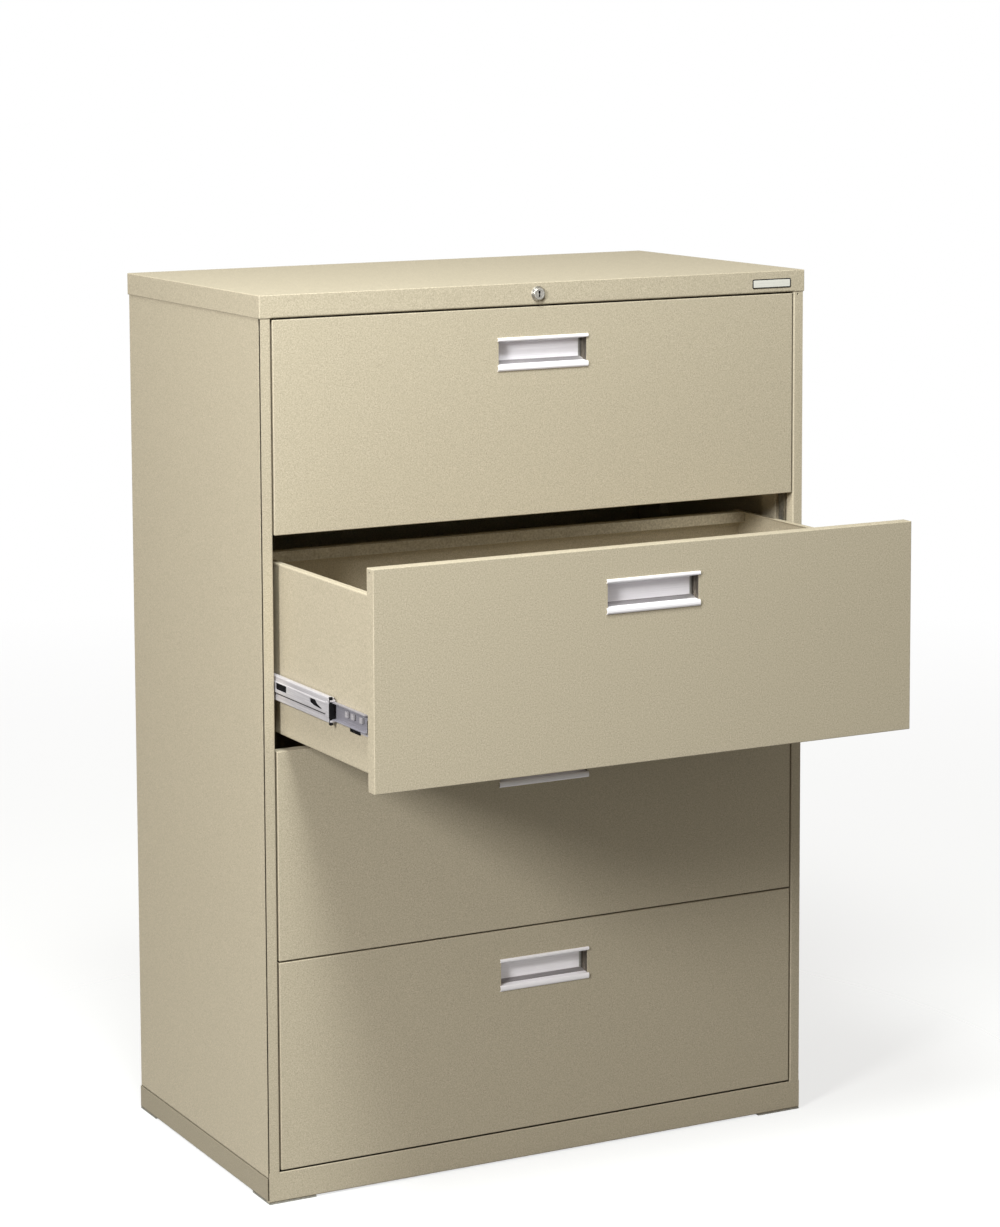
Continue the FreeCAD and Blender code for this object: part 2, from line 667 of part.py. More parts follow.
def lock_guides():
    """Clips that keep the rod in its recess, and hangers that carry the bar under the top."""
    clips = []
    room = "(rod_gap + rod_sheet + guide_clearance)"
    for drawer in DRAWERS:
        low = f"({front_bottom(drawer)} + guide_level)"
        high = f"({low} + guide_height)"
        outer_front = f"({TAB_FRONT} - guide_clearance - guide_sheet)"
        outer_back = f"({TAB_FRONT} + rod_width + guide_clearance + guide_sheet)"
        clip = block(f"clip_{drawer}", (STILE, outer_front, low),
                     (f"{STILE} + rod_recess_depth", outer_back, high))
        inner_front = f"({TAB_FRONT} - guide_clearance)"
        hollow = block(f"clip_room_{drawer}",
                       (f"{ROD_NEAR} - guide_clearance", inner_front, f"{low} - overrun"),
                       (f"{STILE} + rod_recess_depth + overrun", f"{TAB_FRONT} + rod_width + guide_clearance",
                        f"{high} + overrun"))
        clips.append(cut(f"rod_clip_{drawer}", clip, hollow))
    middle = f"({BAR_FRONT} + bar_sheet / 2)"
    for index, share in enumerate(BAR_GUIDE_SHARES):
        x = f"({share} * {ROD_PIN_X} - 2 * crank_radius)"
        hanger = block(f"hanger_{index}",
                       (x, f"{middle} - bar_guide_depth / 2", f"{BAR_LOW} - guide_clearance - guide_sheet"),
                       (f"{x} + guide_sheet", f"{middle} + bar_guide_depth / 2", f"{TOP} - sheet"))
        window = block(f"window_{index}",
                       (f"{x} - overrun", f"{BAR_FRONT} - guide_clearance", f"{BAR_LOW} - guide_clearance"),
                       (f"{x} + guide_sheet + overrun", f"{BAR_BACK} + guide_clearance",
                        f"{BAR_LOW} + bar_height + guide_clearance"))
        clips.append(cut(f"bar_hanger_{index}", hanger, window))
    node("lock_guides", group("guides", clips))


# Drawers

def pull_levels(drawer):
    """Bottom of the pull, and bottom and top of its cup."""
    bottom = f"({front_top(drawer)} - pull_drop - pull_height)"
    return bottom, f"({bottom} + pull_valley)", f"({bottom} + pull_height - pull_top_lip + pull_wall)"


def drawer_front(drawer):
    """Hollow front: a pan open to the back, with a hole for the pull's cup."""
    name = f"drawer_{drawer}_front"
    body = pad(f"front_{drawer}", "XZ_Plane",
               rectangle(f"-{FRONT_HALF}", front_bottom(drawer), FRONT_HALF, front_top(drawer)),
               f"-{pulled(drawer, FRONT_BACK)}", "front_depth")
    doc.recompute()
    round_edges(body, edges_at(body.Tip, "y", number(pulled(drawer, FRONT))), "front_edge")
    room = draw(body, "XZ_Plane",
                rectangle(f"-{FRONT_HALF} + front_sheet", f"{front_bottom(drawer)} + front_sheet",
                          f"{FRONT_HALF} - front_sheet", f"{front_top(drawer)} - front_sheet"),
                f"-{pulled(drawer, FRONT_BACK)}")
    hollow = body.newObject("PartDesign::Pocket", f"{name}_hollow")
    hollow.Profile = room
    hollow.Reversed = True
    bind(hollow, "Length", "front_depth - front_sheet")
    bottom, cup_low, cup_high = pull_levels(drawer)
    half = "(pull_width / 2 - pull_end_margin)"
    mouth = draw(body, "XZ_Plane",
                 rectangle(f"-{half}", f"{cup_low} - pull_fit", half, f"{cup_high} + pull_fit"),
                 f"-{pulled(drawer, FRONT_BACK)}")
    hole = body.newObject("PartDesign::Pocket", f"{name}_hole")
    hole.Profile = mouth
    hole.Reversed = True
    bind(hole, "Length", "front_depth + overrun")
    body.Tip = hole
    node(name, body)


def drawer_liner(drawer):
    """Flat sheet that closes the hollow front from behind."""
    back = pulled(drawer, FRONT_BACK)
    low = (f"-{FRONT_HALF} + front_sheet", f"{back} - front_sheet", f"{front_bottom(drawer)} + front_sheet")
    high = (f"{FRONT_HALF} - front_sheet", back, f"{front_top(drawer)} - front_sheet")
    node(f"drawer_{drawer}_liner", block(f"liner_{drawer}", low, high))


def drawer_tray(drawer):
    """Floor, back and sides folded from one sheet, with flanges at the front and along the top."""
    front = pulled(drawer, FRONT_BACK)
    back = pulled(drawer, TRAY_BACK)
    low = f"({front_bottom(drawer)} + tray_rise)"
    top = f"({front_top(drawer)} - tray_drop)"
    pieces = [
        block(f"floor_{drawer}", (f"-{TRAY_HALF}", front, low), (TRAY_HALF, back, f"{low} + tray_sheet")),
        block(f"back_{drawer}", (f"-{TRAY_HALF}", f"{back} - tray_sheet", low), (TRAY_HALF, back, top)),
    ]
    for name, side in SIDES.items():
        inner = f"({TRAY_HALF} - tray_sheet)"
        pieces += [
            side_block(f"{name}_{drawer}", side, inner, TRAY_HALF, (front, low), (back, top)),
            side_block(f"{name}_top_{drawer}", side, f"{inner} - tray_flange", TRAY_HALF,
                       (front, f"{top} - tray_sheet"), (back, top)),
            side_block(f"{name}_flange_{drawer}", side, f"{inner} - tray_front_flange", TRAY_HALF,
                       (front, low), (f"{front} + tray_sheet", top)),
        ]
    node(f"drawer_{drawer}_tray", fuse(f"tray_{drawer}", pieces))


def hanging_rails(drawer):
    """Front and rear rails that hanging folders hook on."""
    top = f"({front_top(drawer)} - tray_drop - tray_sheet)"
    inner = f"({TRAY_HALF} - tray_sheet)"
    starts = {"front": pulled(drawer, f"({FRONT} + hanger_setback)"),
              "rear": pulled(drawer, f"({TRAY_BACK} - hanger_back_margin)")}
    rails = [block(f"hanger_{end}_{drawer}", (f"-{inner}", y, f"{top} - hanger_height"),
                   (inner, f"{y} + hanger_sheet", top)) for end, y in starts.items()]
    node(f"drawer_{drawer}_hanging_rails", group(f"hangers_{drawer}", rails))


def drawer_pull(drawer):
    """Recessed pull: a cup behind the front with a flat upper lip and a bulging lower lip."""
    face = pulled(drawer, FRONT)
    bottom, cup_low, cup_high = pull_levels(drawer)
    half = "(pull_width / 2 - pull_end_margin - pull_fit)"
    cup = block(f"cup_{drawer}", (f"-{half}", face, cup_low), (half, f"{face} + pull_depth", cup_high))
    hollow = block(f"cup_room_{drawer}",
                   (f"-{half} + pull_wall", f"{face} - pull_lip - overrun", f"{cup_low} + pull_wall"),
                   (f"{half} - pull_wall", f"{face} + pull_depth - pull_wall", f"{cup_high} - pull_wall"))
    top = f"({bottom} + pull_height)"
    upper = block(f"upper_lip_{drawer}", ("-pull_width / 2", f"{face} - pull_lip", f"{top} - pull_top_lip"),
                  ("pull_width / 2", face, top))
    end_low = f"({bottom} + pull_low_lip)"
    ends = [side_block(f"{name}_end_{drawer}", side, f"{half} - pull_wall", half,
                       (f"{face} - pull_lip", f"{end_low} - pull_wall"), (face, cup_high))
            for name, side in SIDES.items()]
    bulge = f"({face} - pull_lip - pull_low_bulge)"
    lip = [
        (face, bottom), (f"{face} - pull_lip", bottom), (bulge, f"{bottom} + pull_low_lip / 2"),
        (f"{face} - pull_lip", end_low), (face, end_low),
    ]
    lower = pad(f"lower_lip_{drawer}", "YZ_Plane", lip, "-pull_width / 2", "pull_width")
    hollow_cup = cut(f"hollow_cup_{drawer}", cup, hollow)
    node(f"drawer_{drawer}_pull", fuse(f"pull_{drawer}", [hollow_cup, upper, lower, *ends]))


def catch(drawer):
    """Bracket on the drawer's right side that the rod's lug stands in front of when locked."""
    front = pulled(drawer, CATCH_FRONT)
    low = f"({front_bottom(drawer)} + catch_level)"
    plate = block(f"catch_plate_{drawer}", (TRAY_HALF, front, f"{low} - catch_plate_margin"),
                  (f"{TRAY_HALF} + catch_plate_sheet", f"{front} + catch_plate_length",
                   f"{low} + catch_height + catch_plate_margin / 2"))
    tab = block(f"catch_tab_{drawer}", (TRAY_HALF, front, low),
                (f"{TRAY_HALF} + catch_reach", f"{front} + catch_sheet", f"{low} + catch_height"))
    node(f"drawer_{drawer}_catch", fuse(f"catch_{drawer}", [plate, tab]))


# Telescopic slides, each in three members: one on the case, one in the middle, one on the drawer

def channel(side, web, inner_web, lip, half, level):
    """A channel section: the web's two faces, the flanges' ends, half the height and the middle level."""
    path = [
        (lip, half), (web, half), (web, f"-{half}"), (lip, f"-{half}"), (lip, f"-{half} + slide_wall"),
        (inner_web, f"-{half} + slide_wall"), (inner_web, f"{half} - slide_wall"),
        (lip, f"{half} - slide_wall"),
    ]
    return [(f"{side} * ({TRAY_HALF} + {x})", f"{level} + {z}") for x, z in path]


def slide_piece(name, outline, front, length):
    """A slide section run backwards from its front end."""
    return pad(name, "XZ_Plane", outline, f"-({front} + {length})", length)


def case_rails(name, side):
    """The four members that are fixed to the posts on one side."""
    rails = []
    for drawer in DRAWERS:
        section = channel(side, "slide_width", "slide_width - slide_wall", "slide_width - case_rail_flange",
                          "case_rail_half", slide_level(drawer))
        rails.append(slide_piece(f"{name}_case_rail_{drawer}", section, SLIDE_FRONT, SLIDE_LENGTH))
    node(f"{name}_case_rails", group(f"{name}_rails", rails))


def middle_section(side, level):
    """Channel with a shallow bead pressed along the middle of its web."""
    web = "(slide_width - middle_rail_inset)"
    lip = f"({web} - middle_rail_flange)"
    bead = f"({web} - middle_bead_step)"
    upper = [
        (lip, "middle_rail_half"), (web, "middle_rail_half"),
        (web, "middle_bead_half + middle_bead_step"), (bead, "middle_bead_half"),
    ]
    inner = [
        (f"{bead} - slide_wall", "middle_bead_half - slide_wall"),
        (f"{web} - slide_wall", "middle_bead_half + middle_bead_step"),
        (f"{web} - slide_wall", "middle_rail_half - slide_wall"), (lip, "middle_rail_half - slide_wall"),
    ]
    lower = [(x, f"-({z})") for x, z in reversed(upper)]
    inner_lower = [(x, f"-({z})") for x, z in reversed(inner)]
    path = upper + lower + inner_lower + inner
    return [(f"{side} * ({TRAY_HALF} + {x})", f"{level} + {z}") for x, z in path]


def middle_rails(drawer):
    front = half_pulled(drawer, SLIDE_FRONT)
    rails = []
    for name, side in SIDES.items():
        section = middle_section(side, slide_level(drawer))
        rails.append(slide_piece(f"{name}_middle_rail_{drawer}", section, front, SLIDE_LENGTH))
    node(f"drawer_{drawer}_middle_rails", group(f"middle_{drawer}", rails))


def drawer_rails(drawer):
    front = pulled(drawer, f"({FRONT} + drawer_rail_setback)")
    length = f"({SLIDE_LENGTH} + slide_setback - drawer_rail_setback)"
    rails = []
    for name, side in SIDES.items():
        section = channel(side, "0", "slide_wall", "drawer_rail_flange", "drawer_rail_half",
                          slide_level(drawer))
        rails.append(slide_piece(f"{name}_drawer_rail_{drawer}", section, front, length))
    node(f"drawer_{drawer}_drawer_rails", group(f"drawer_rails_{drawer}", rails))


def ball_cages(drawer):
    """Black strips that space the members, and the retainer at each middle member's front end."""
    front = half_pulled(drawer, SLIDE_FRONT)
    level = slide_level(drawer)
    web = f"({TRAY_HALF} + slide_width - middle_rail_inset)"
    outer_low = "middle_rail_half"
    outer_high = "(case_rail_half - slide_wall - ball_clearance)"
    inner_low = "(drawer_rail_half + ball_clearance)"
    inner_high = "(middle_rail_half - slide_wall)"
    strips = []
    for name, side in SIDES.items():
        near = f"{web} - slide_wall - cage_width"
        far = f"{web} - slide_wall"
        for end, start in (("front", f"({front} + retainer_length)"),
                           ("rear", f"({front} + {SLIDE_LENGTH} - retainer_length - cage_length)")):
            for row, low, high in (("outer", outer_low, outer_high), ("inner", inner_low, inner_high)):
                for up in (1, -1):
                    levels = between(up, low, high)
                    strips.append(side_block(f"cage_{name}_{end}_{row}_{drawer}", side, near, far,
                                             (start, f"{level} + {levels[0]}"),
                                             (f"{start} + cage_length", f"{level} + {levels[1]}")))
        outline = [
            ("(0 - retainer_width)", "retainer_half"), ("0", "retainer_half"), ("0", "-retainer_half"),
            ("(0 - retainer_width)", "-retainer_half"), ("(0 - middle_rail_flange)", f"-{inner_low}"),
            ("(0 - slide_wall)", f"-{inner_low}"), ("(0 - slide_wall)", inner_low),
            ("(0 - middle_rail_flange)", inner_low),
        ]
        section = [(f"{side} * ({web} + {x})", f"{level} + {z}") for x, z in outline]
        strips.append(slide_piece(f"retainer_{name}_{drawer}", section,
                                  f"({front} - retainer_length)", "retainer_length"))
    node(f"drawer_{drawer}_ball_cages", group(f"cages_{drawer}", strips))


def build():
    top_cap()
    back_panel()
    case_fasteners()
    base_pan()
    badge_plate()
    glide_brackets()
    glides()
    rear_posts()
    for name, side in SIDES.items():
        side_panel(name, side)
        front_post(name, side)
        case_rails(name, side)
    lock_housing()
    lock_plug()
    lock_bar()
    lock_rod()
    lock_guides()
    for drawer in DRAWERS:
        for make in (drawer_front, drawer_liner, drawer_tray, hanging_rails, drawer_pull, catch,
                     middle_rails, drawer_rails, ball_cages):
            make(drawer)
    doc.recompute()


def check():
    """Stop before writing when any object failed."""
    for item in doc.Objects:
        if {"Invalid", "Error"} & set(item.State):
            raise RuntimeError(f"{item.Name} ({item.Label}) failed: {item.State}")
    for item in nodes:
        if item.Shape.isNull() or not item.Shape.isValid():
            raise RuntimeError(f"{item.Label} has no valid shape")
    labels = [item.Label for item in nodes]
    if len(set(labels)) != len(labels):
        raise RuntimeError("two sub-parts share a name")


def write():
    os.makedirs("parts", exist_ok=True)
    for item in nodes:
        item.Shape.exportStep(f"parts/{item.Label}.step")
    travel = number("crank_radius * sqrt(2)")
    print(f"{len(nodes)} nodes, the lock's rod travels {travel:.4f} mm in its quarter turn")


build()
check()
write()
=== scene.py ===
import math

import bmesh
import bpy
from mathutils import Matrix, Vector


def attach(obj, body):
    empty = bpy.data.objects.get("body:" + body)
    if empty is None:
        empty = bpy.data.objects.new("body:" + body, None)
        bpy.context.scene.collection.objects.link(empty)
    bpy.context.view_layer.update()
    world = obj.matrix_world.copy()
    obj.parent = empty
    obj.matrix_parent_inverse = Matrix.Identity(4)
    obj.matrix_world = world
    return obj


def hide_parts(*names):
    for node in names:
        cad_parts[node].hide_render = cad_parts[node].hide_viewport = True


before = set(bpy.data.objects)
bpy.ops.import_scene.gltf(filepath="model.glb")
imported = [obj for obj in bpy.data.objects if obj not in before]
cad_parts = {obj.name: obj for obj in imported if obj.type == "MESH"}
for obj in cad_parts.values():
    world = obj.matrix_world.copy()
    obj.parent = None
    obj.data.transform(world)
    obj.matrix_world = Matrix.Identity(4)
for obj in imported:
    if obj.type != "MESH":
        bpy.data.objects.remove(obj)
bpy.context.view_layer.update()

# Looks of the four-drawer lateral file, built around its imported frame.
# Lengths are in millimetres until a mesh is made. X is the width, -Y the front, +Z up.

MM = 0.001
SHARP_ANGLE = 35.0

# Case
HALF = 457.2
FRONT = -244.5
BACK = 244.5
LOW = 3.0
TOP = 1323.8
SHEET = 1.2
HEADER_LOW = 1290.65
HEADER_FLANGE = 15.0
HEADER_ROLL = 4.0
CAP_EDGE = 1.25
SHELF = 37.3
SEAM = 2.2
SEAM_ANGLE_INSET = 8.0
PANEL_SETBACK = 5.6
PANEL_FLANGE = 24.0
RAIL_TOP = 46.55
BASE_FLANGE = 12.0
HEM_GAP = 0.2
SKIRT_OUT = 0.8
STILE = 440.2
STILE_EDGE = 456.4
WEB_PLACE = 449.0
WEB_SETBACK = 45.0
POST_STEPS = {"return": -226.0, "recess_back": -195.0, "back": -157.0, "recess_x": 447.2}
HOLE_RADIUS = 1.5
STILE_HOLE_INSET = 7.0
STILE_HOLE_DROP = 4.0
SCREW_INSET = 12.0
SCREW_SHARES = (0.08, 0.36, 0.64, 0.92)
# Drawers
DRAWERS = (1, 2, 3, 4)
OPEN_DRAWER = 2
SHOWN_OPEN = 315.0
MIDDLE_SHARE = 0.644
PITCH = 310.4
FIRST_TOP = 1288.15
FRONT_HEIGHT = 307.9
FRONT_HALF = 437.5
FRONT_DEPTH = 19.0
FRONT_SHEET = 1.0
FRONT_EDGE = 1.3
FRONT_HOLE_DEPTH = 11.0
FRONT_HOLE_DROP = 6.0
TRAY_HALF = 427.5
TRAY_RISE = 20.0
TRAY_DROP = 40.0
TRAY_BACK = 205.0
TRAY_FLANGE = 9.0
TRAY_BACK_FLANGE = 10.0
TRAY_FRONT_FLANGE = 14.0
# Pulls, with heights from the pull's lower edge
PULL_HALF = 76.0
PULL_DROP = 93.0
PULL_HEIGHT = 49.5
CUP_HALF = 74.3
CUP_DEPTH = 14.0
CUP_CORNER = 7.0
CUP_LOW = 9.0
CUP_HIGH = 43.8
MOUTH_LOW = 3.8
MOUTH_HIGH = 46.4
PULL_WALL = 1.0
# Slides
SLIDE_WIDTH = 12.7
SLIDE_RISE = 90.0
SLIDE_WALL = 1.3
SLIDE_FRONT = -218.0
SLIDE_LENGTH = 425.0
DRAWER_RAIL_FRONT = -210.0
DRAWER_RAIL_LENGTH = 417.0
RAIL_HALF = {"case": 22.0, "middle": 18.2, "drawer": 12.6}
RAIL_FLANGE = {"case": 7.7, "middle": 7.5, "drawer": 8.0}
MIDDLE_INSET = 2.2
BAND_DEPTH = 1.0
CASE_SLOT_SHARES = (0.06, 0.12, 0.3, 0.5, 0.7, 0.93)
DRAWER_WINDOW_PLACES = (19.0, 45.0, 64.0)
CAGE_LENGTH = 60.0
BALLS_A_CAGE = 7
BALL_STEP = 8
RETAINER = 5.0
# Lock
LOCK_X = -8.5
LOCK_LEVEL = 1307.0
LOCK_FACE = -250.7
LOCK_RING = 11.5
LOCK_BARREL = 9.5
PLUG = 6.0
# Badge plate
BADGE = {"left": 364.1, "right": 432.8, "low": 1298.0, "top": 1312.0}
BADGE_THICKNESS = 1.0
BADGE_RIM = 1.5

SIDES = {"left": -1, "right": 1}


# Mesh helpers

def plan(u, v, along):
    """A section drawn from above, run upwards."""
    return (u, v, along)


def facing(u, v, along):
    """A section seen from the front, run backwards."""
    return (u, along, v)


def profile(u, v, along):
    """A section seen from the side, run across."""
    return (along, u, v)


def left_of(direction):
    """The direction turned a quarter to the left."""
    return Vector((-direction.y, direction.x))


def shifted(points, distance):
    """An open path moved sideways to its left, with its corners kept."""
    moved = []
    count = len(points)
    for index, point in enumerate(points):
        before = point - points[index - 1] if index else points[1] - point
        after = points[index + 1] - point if index < count - 1 else before
        normal = left_of(after.normalized())
        middle = (left_of(before.normalized()) + normal).normalized()
        moved.append(point + middle * (distance / middle.dot(normal)))
    return moved


def rounded(points, bend, steps=4):
    """Points and left directions along a path whose corners are rounded."""
    samples = [(points[0], left_of((points[1] - points[0]).normalized()))]
    for before, corner, after in zip(points, points[1:], points[2:]):
        first = (corner - before).normalized()
        second = (after - corner).normalized()
        turn = math.atan2(first.x * second.y - first.y * second.x, first.dot(second))
        reach = min(bend * math.tan(abs(turn) / 2), (corner - before).length * 0.49,
                    (after - corner).length * 0.49)
        radius = reach / math.tan(abs(turn) / 2)
        side = math.copysign(radius, turn)
        centre = corner - first * reach + left_of(first) * side
        for step in range(steps + 1):
            normal = left_of(first)
            normal.rotate(Matrix.Rotation(turn * step / steps, 2))
            samples.append((centre - normal * side, normal))
    samples.append((points[-1], left_of((points[-1] - points[-2]).normalized())))
    return samples


def fold(mesh, path, thickness, bend, place, start, end, flip=1):
    """Add a folded sheet: a path of one of its faces, thick to the left, run from start to end.

    With flip at -1 the path is mirrored from the right side of the cabinet to the left.
    """
    points = [Vector((u, v)) for u, v in path]
    samples = rounded(shifted(points, thickness / 2), bend + thickness / 2)
    rows = []
    for point, normal in samples:
        sides = (point + normal * thickness / 2, point - normal * thickness / 2)
        rows.append([mesh.verts.new(Vector(place(flip * spot.x, spot.y, along)))
                     for along in (start, end) for spot in sides])
    faces = []
    for (a, b, c, d), (e, f, g, h) in zip(rows, rows[1:]):
        faces += [(a, e, g, c), (b, d, h, f), (a, b, f, e), (c, g, h, d)]
    a, b, c, d = rows[0]
    faces.append((a, c, d, b))
    a, b, c, d = rows[-1]
    faces.append((a, b, d, c))
    made = [mesh.faces.new(corners) for corners in faces]
    bmesh.ops.recalc_face_normals(mesh, faces=made)
    return made


def slab(mesh, low, high, edge=0.3):
    """Add a block with softened edges."""
    made = bmesh.ops.create_cube(mesh, size=1)["verts"]
    size = [high[axis] - low[axis] for axis in range(3)]
    for vert in made:
        vert.co = Vector([(low[axis] + high[axis]) / 2 + vert.co[axis] * size[axis]
                          for axis in range(3)])
    edges = list({line for vert in made for line in vert.link_edges})
    bmesh.ops.bevel(mesh, geom=edges, offset=edge, segments=2, profile=0.5, affect="EDGES")


def lathe(mesh, outline, centre, turns=64):
    """Add a body turned about an axis that runs backwards: an outline of radius and depth."""
    rings = []
    for radius, depth in outline:
        if radius == 0:
            rings.append([mesh.verts.new((centre[0], centre[1] + depth, centre[2]))])
            continue
        rings.append([mesh.verts.new((centre[0] + radius * math.cos(2 * math.pi * step / turns),
                                      centre[1] + depth,
                                      centre[2] + radius * math.sin(2 * math.pi * step / turns)))
                      for step in range(turns)])
    made = []
    for near, far in zip(rings, rings[1:]):
        for step in range(turns):
            after = (step + 1) % turns
            corners = [near[step % len(near)], near[after % len(near)],
                       far[after % len(far)], far[step % len(far)]]
            made.append(mesh.faces.new(list(dict.fromkeys(corners))))
    bmesh.ops.recalc_face_normals(mesh, faces=made)


def prism(mesh, outline, place, start, end):
    """Add a solid with a closed outline."""
    near = [mesh.verts.new(place(u, v, start)) for u, v in outline]
    far = [mesh.verts.new(place(u, v, end)) for u, v in outline]
    made = [mesh.faces.new(near), mesh.faces.new(far)]
    count = len(outline)
    for index in range(count):
        after = (index + 1) % count
        made.append(mesh.faces.new((near[index], near[after], far[after], far[index])))
    bmesh.ops.recalc_face_normals(mesh, faces=made)


def round_corners(left, bottom, right, top, radius, steps=5):
    """A rectangle's outline with round corners."""
    outline = []
    for quarter, (x, y) in enumerate(((right, top), (left, top), (left, bottom), (right, bottom))):
        centre = (x - radius if x == right else x + radius, y - radius if y == top else y + radius)
        for step in range(steps + 1):
            angle = math.pi / 2 * (quarter + step / steps)
            outline.append((centre[0] + radius * math.cos(angle), centre[1] + radius * math.sin(angle)))
    return outline


def small_hole(x, y):
    """The outline of a small round hole."""
    return round_corners(x - HOLE_RADIUS, y - HOLE_RADIUS, x + HOLE_RADIUS, y + HOLE_RADIUS,
                         HOLE_RADIUS - 0.01)


def thing(name, mesh):
    """Turn a mesh in millimetres into an object in metres with smooth bends."""
    bmesh.ops.scale(mesh, vec=(MM, MM, MM), verts=mesh.verts)
    data = bpy.data.meshes.new(name)
    mesh.to_mesh(data)
    mesh.free()
    data.shade_smooth()
    data.set_sharp_from_angle(angle=math.radians(SHARP_ANGLE))
    made = bpy.data.objects.new(name, data)
    bpy.context.scene.collection.objects.link(made)
    return made


def settle(made):
    """Make an object's modifiers part of its mesh."""
    shown = made.evaluated_get(bpy.context.evaluated_depsgraph_get())
    data = bpy.data.meshes.new_from_object(shown)
    made.modifiers.clear()
    made.data = data
    data.shade_smooth()
    data.set_sharp_from_angle(angle=math.radians(SHARP_ANGLE))


def carve(made, tool):
    """Cut a mesh away from an object."""
    cutter = thing(f"{made.name}_cutter", tool)
    cutting = made.modifiers.new("cut", "BOOLEAN")
    cutting.operation = "DIFFERENCE"
    cutting.solver = "EXACT"
    cutting.object = cutter
    settle(made)
    bpy.data.objects.remove(cutter)


def soften(made, width):
    """Bevel an object's sharp edges."""
    edge = made.modifiers.new("edge", "BEVEL")
    edge.width = width * MM
    edge.segments = 2
    edge.limit_method = "ANGLE"
    edge.angle_limit = math.radians(40)
    settle(made)


def join(name, parts):
    """A piece from several meshes already made as objects."""
    whole = bmesh.new()
    for part in parts:
        whole.from_mesh(part.data)
        bpy.data.objects.remove(part)
    data = bpy.data.meshes.new(name)
    whole.to_mesh(data)
    whole.free()
    made = bpy.data.objects.new(name, data)
    bpy.context.scene.collection.objects.link(made)
    return made


def finish_piece(made, body, slot, *nodes, look=None):
    """Give a piece its material, its body and the nodes that it stands for."""
    made.data.materials.clear()
    made.data.materials.append(materials[look or slot])
    flats = made.modifiers.new("flat_sheet_normals", "WEIGHTED_NORMAL")
    flats.mode = "FACE_AREA"
    flats.keep_sharp = True
    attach(made, body)
    if nodes:
        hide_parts(*nodes)


# Materials

def add(tree, kind, inputs=None, **settings):
    """A node whose inputs are numbers, colours or other nodes' outputs."""
    item = tree.nodes.new(kind)
    for field, value in settings.items():
        setattr(item, field, value)
    for socket, value in (inputs or {}).items():
        if isinstance(value, bpy.types.NodeSocket):
            tree.links.new(value, item.inputs[socket])
        else:
            item.inputs[socket].default_value = value
    return item


def new_material(name, metallic, **shader_inputs):
    """A material with its node tree, its shader and the object's own coordinates."""
    material = bpy.data.materials.new(name)
    material.use_nodes = True
    tree = material.node_tree
    shader = tree.nodes["Principled BSDF"]
    shader.inputs["Metallic"].default_value = metallic
    for socket, value in shader_inputs.items():
        shader.inputs[socket.replace("_", " ")].default_value = value
    place = add(tree, "ShaderNodeTexCoord").outputs["Object"]
    return material, tree, shader, place


def noise(tree, place, scale, detail=2.0, roughness=0.5):
    """A noise pattern over the piece's own coordinates."""
    inputs = {"Vector": place, "Scale": scale, "Detail": detail, "Roughness": roughness}
    return add(tree, "ShaderNodeTexNoise", inputs).outputs["Fac"]


def spread(tree, value, low, high, start=0.3, end=0.7):
    """Map a pattern's middle range to a range of numbers."""
    return add(tree, "ShaderNodeMapRange",
               {"Value": value, "From Min": start, "From Max": end, "To Min": low, "To Max": high}
               ).outputs["Result"]


def blend(tree, share, dark, light):
    """A colour between two colours."""
    mix = add(tree, "ShaderNodeMix", data_type="RGBA")
    for socket, value in ((mix.inputs[0], share), (mix.inputs[6], dark), (mix.inputs[7], light)):
        if isinstance(value, bpy.types.NodeSocket):
            tree.links.new(value, socket)
        else:
            socket.default_value = value
    return mix.outputs[2]


def bump(tree, shader, height, strength, distance):
    """Drive a shader's relief from a pattern, with the distance in millimetres."""
    relief = add(tree, "ShaderNodeBump",
                 {"Height": height, "Strength": strength, "Distance": distance * MM})
    tree.links.new(relief.outputs["Normal"], shader.inputs["Normal"])


def case_paint(name, dark, light, cloudy):
    """Textured powder coat: a fine speckle, a faint cloudiness and an orange-peel relief."""
    material, tree, shader, place = new_material(name, 0.0)
    speckle = noise(tree, place, 520.0, 3.0, 0.7)
    cloud = noise(tree, place, 38.0, 3.0)
    fine = blend(tree, spread(tree, speckle, 0.0, 1.0), dark, light)
    coat = blend(tree, spread(tree, cloud, 0.0, 0.3), fine, cloudy)
    tree.links.new(coat, shader.inputs["Base Color"])
    tree.links.new(spread(tree, speckle, 0.42, 0.6), shader.inputs["Roughness"])
    bump(tree, shader, noise(tree, place, 800.0, 2.0), 0.4, 0.25)
    return material


def streaked(name, dark, light, rough, stretch, metallic):
    """Metal with fine streaks along one direction."""
    material, tree, shader, place = new_material(name, metallic)
    drawn = add(tree, "ShaderNodeMapping", {"Vector": place, "Scale": stretch}).outputs["Vector"]
    streak = noise(tree, drawn, 1.0, 3.0, 0.6)
    cloud = noise(tree, place, 70.0, 2.0)
    tone = blend(tree, spread(tree, streak, 0.0, 1.0), dark, light)
    dulled = blend(tree, spread(tree, cloud, 0.0, 0.25), tone, dark)
    tree.links.new(dulled, shader.inputs["Base Color"])
    tree.links.new(spread(tree, streak, *rough), shader.inputs["Roughness"])
    bump(tree, shader, streak, 0.1, 0.05)
    return material


def plastic(name, dark, light, rough):
    """Moulded plastic or rubber with a fine grain."""
    material, tree, shader, place = new_material(name, 0.0, Specular_IOR_Level=0.05)
    grain = noise(tree, place, 1200.0, 2.0)
    cloud = noise(tree, place, 90.0, 2.0)
    tone = blend(tree, spread(tree, cloud, 0.0, 1.0), dark, light)
    tree.links.new(tone, shader.inputs["Base Color"])
    tree.links.new(spread(tree, grain, *rough), shader.inputs["Roughness"])
    bump(tree, shader, grain, 0.25, 0.08)
    return material


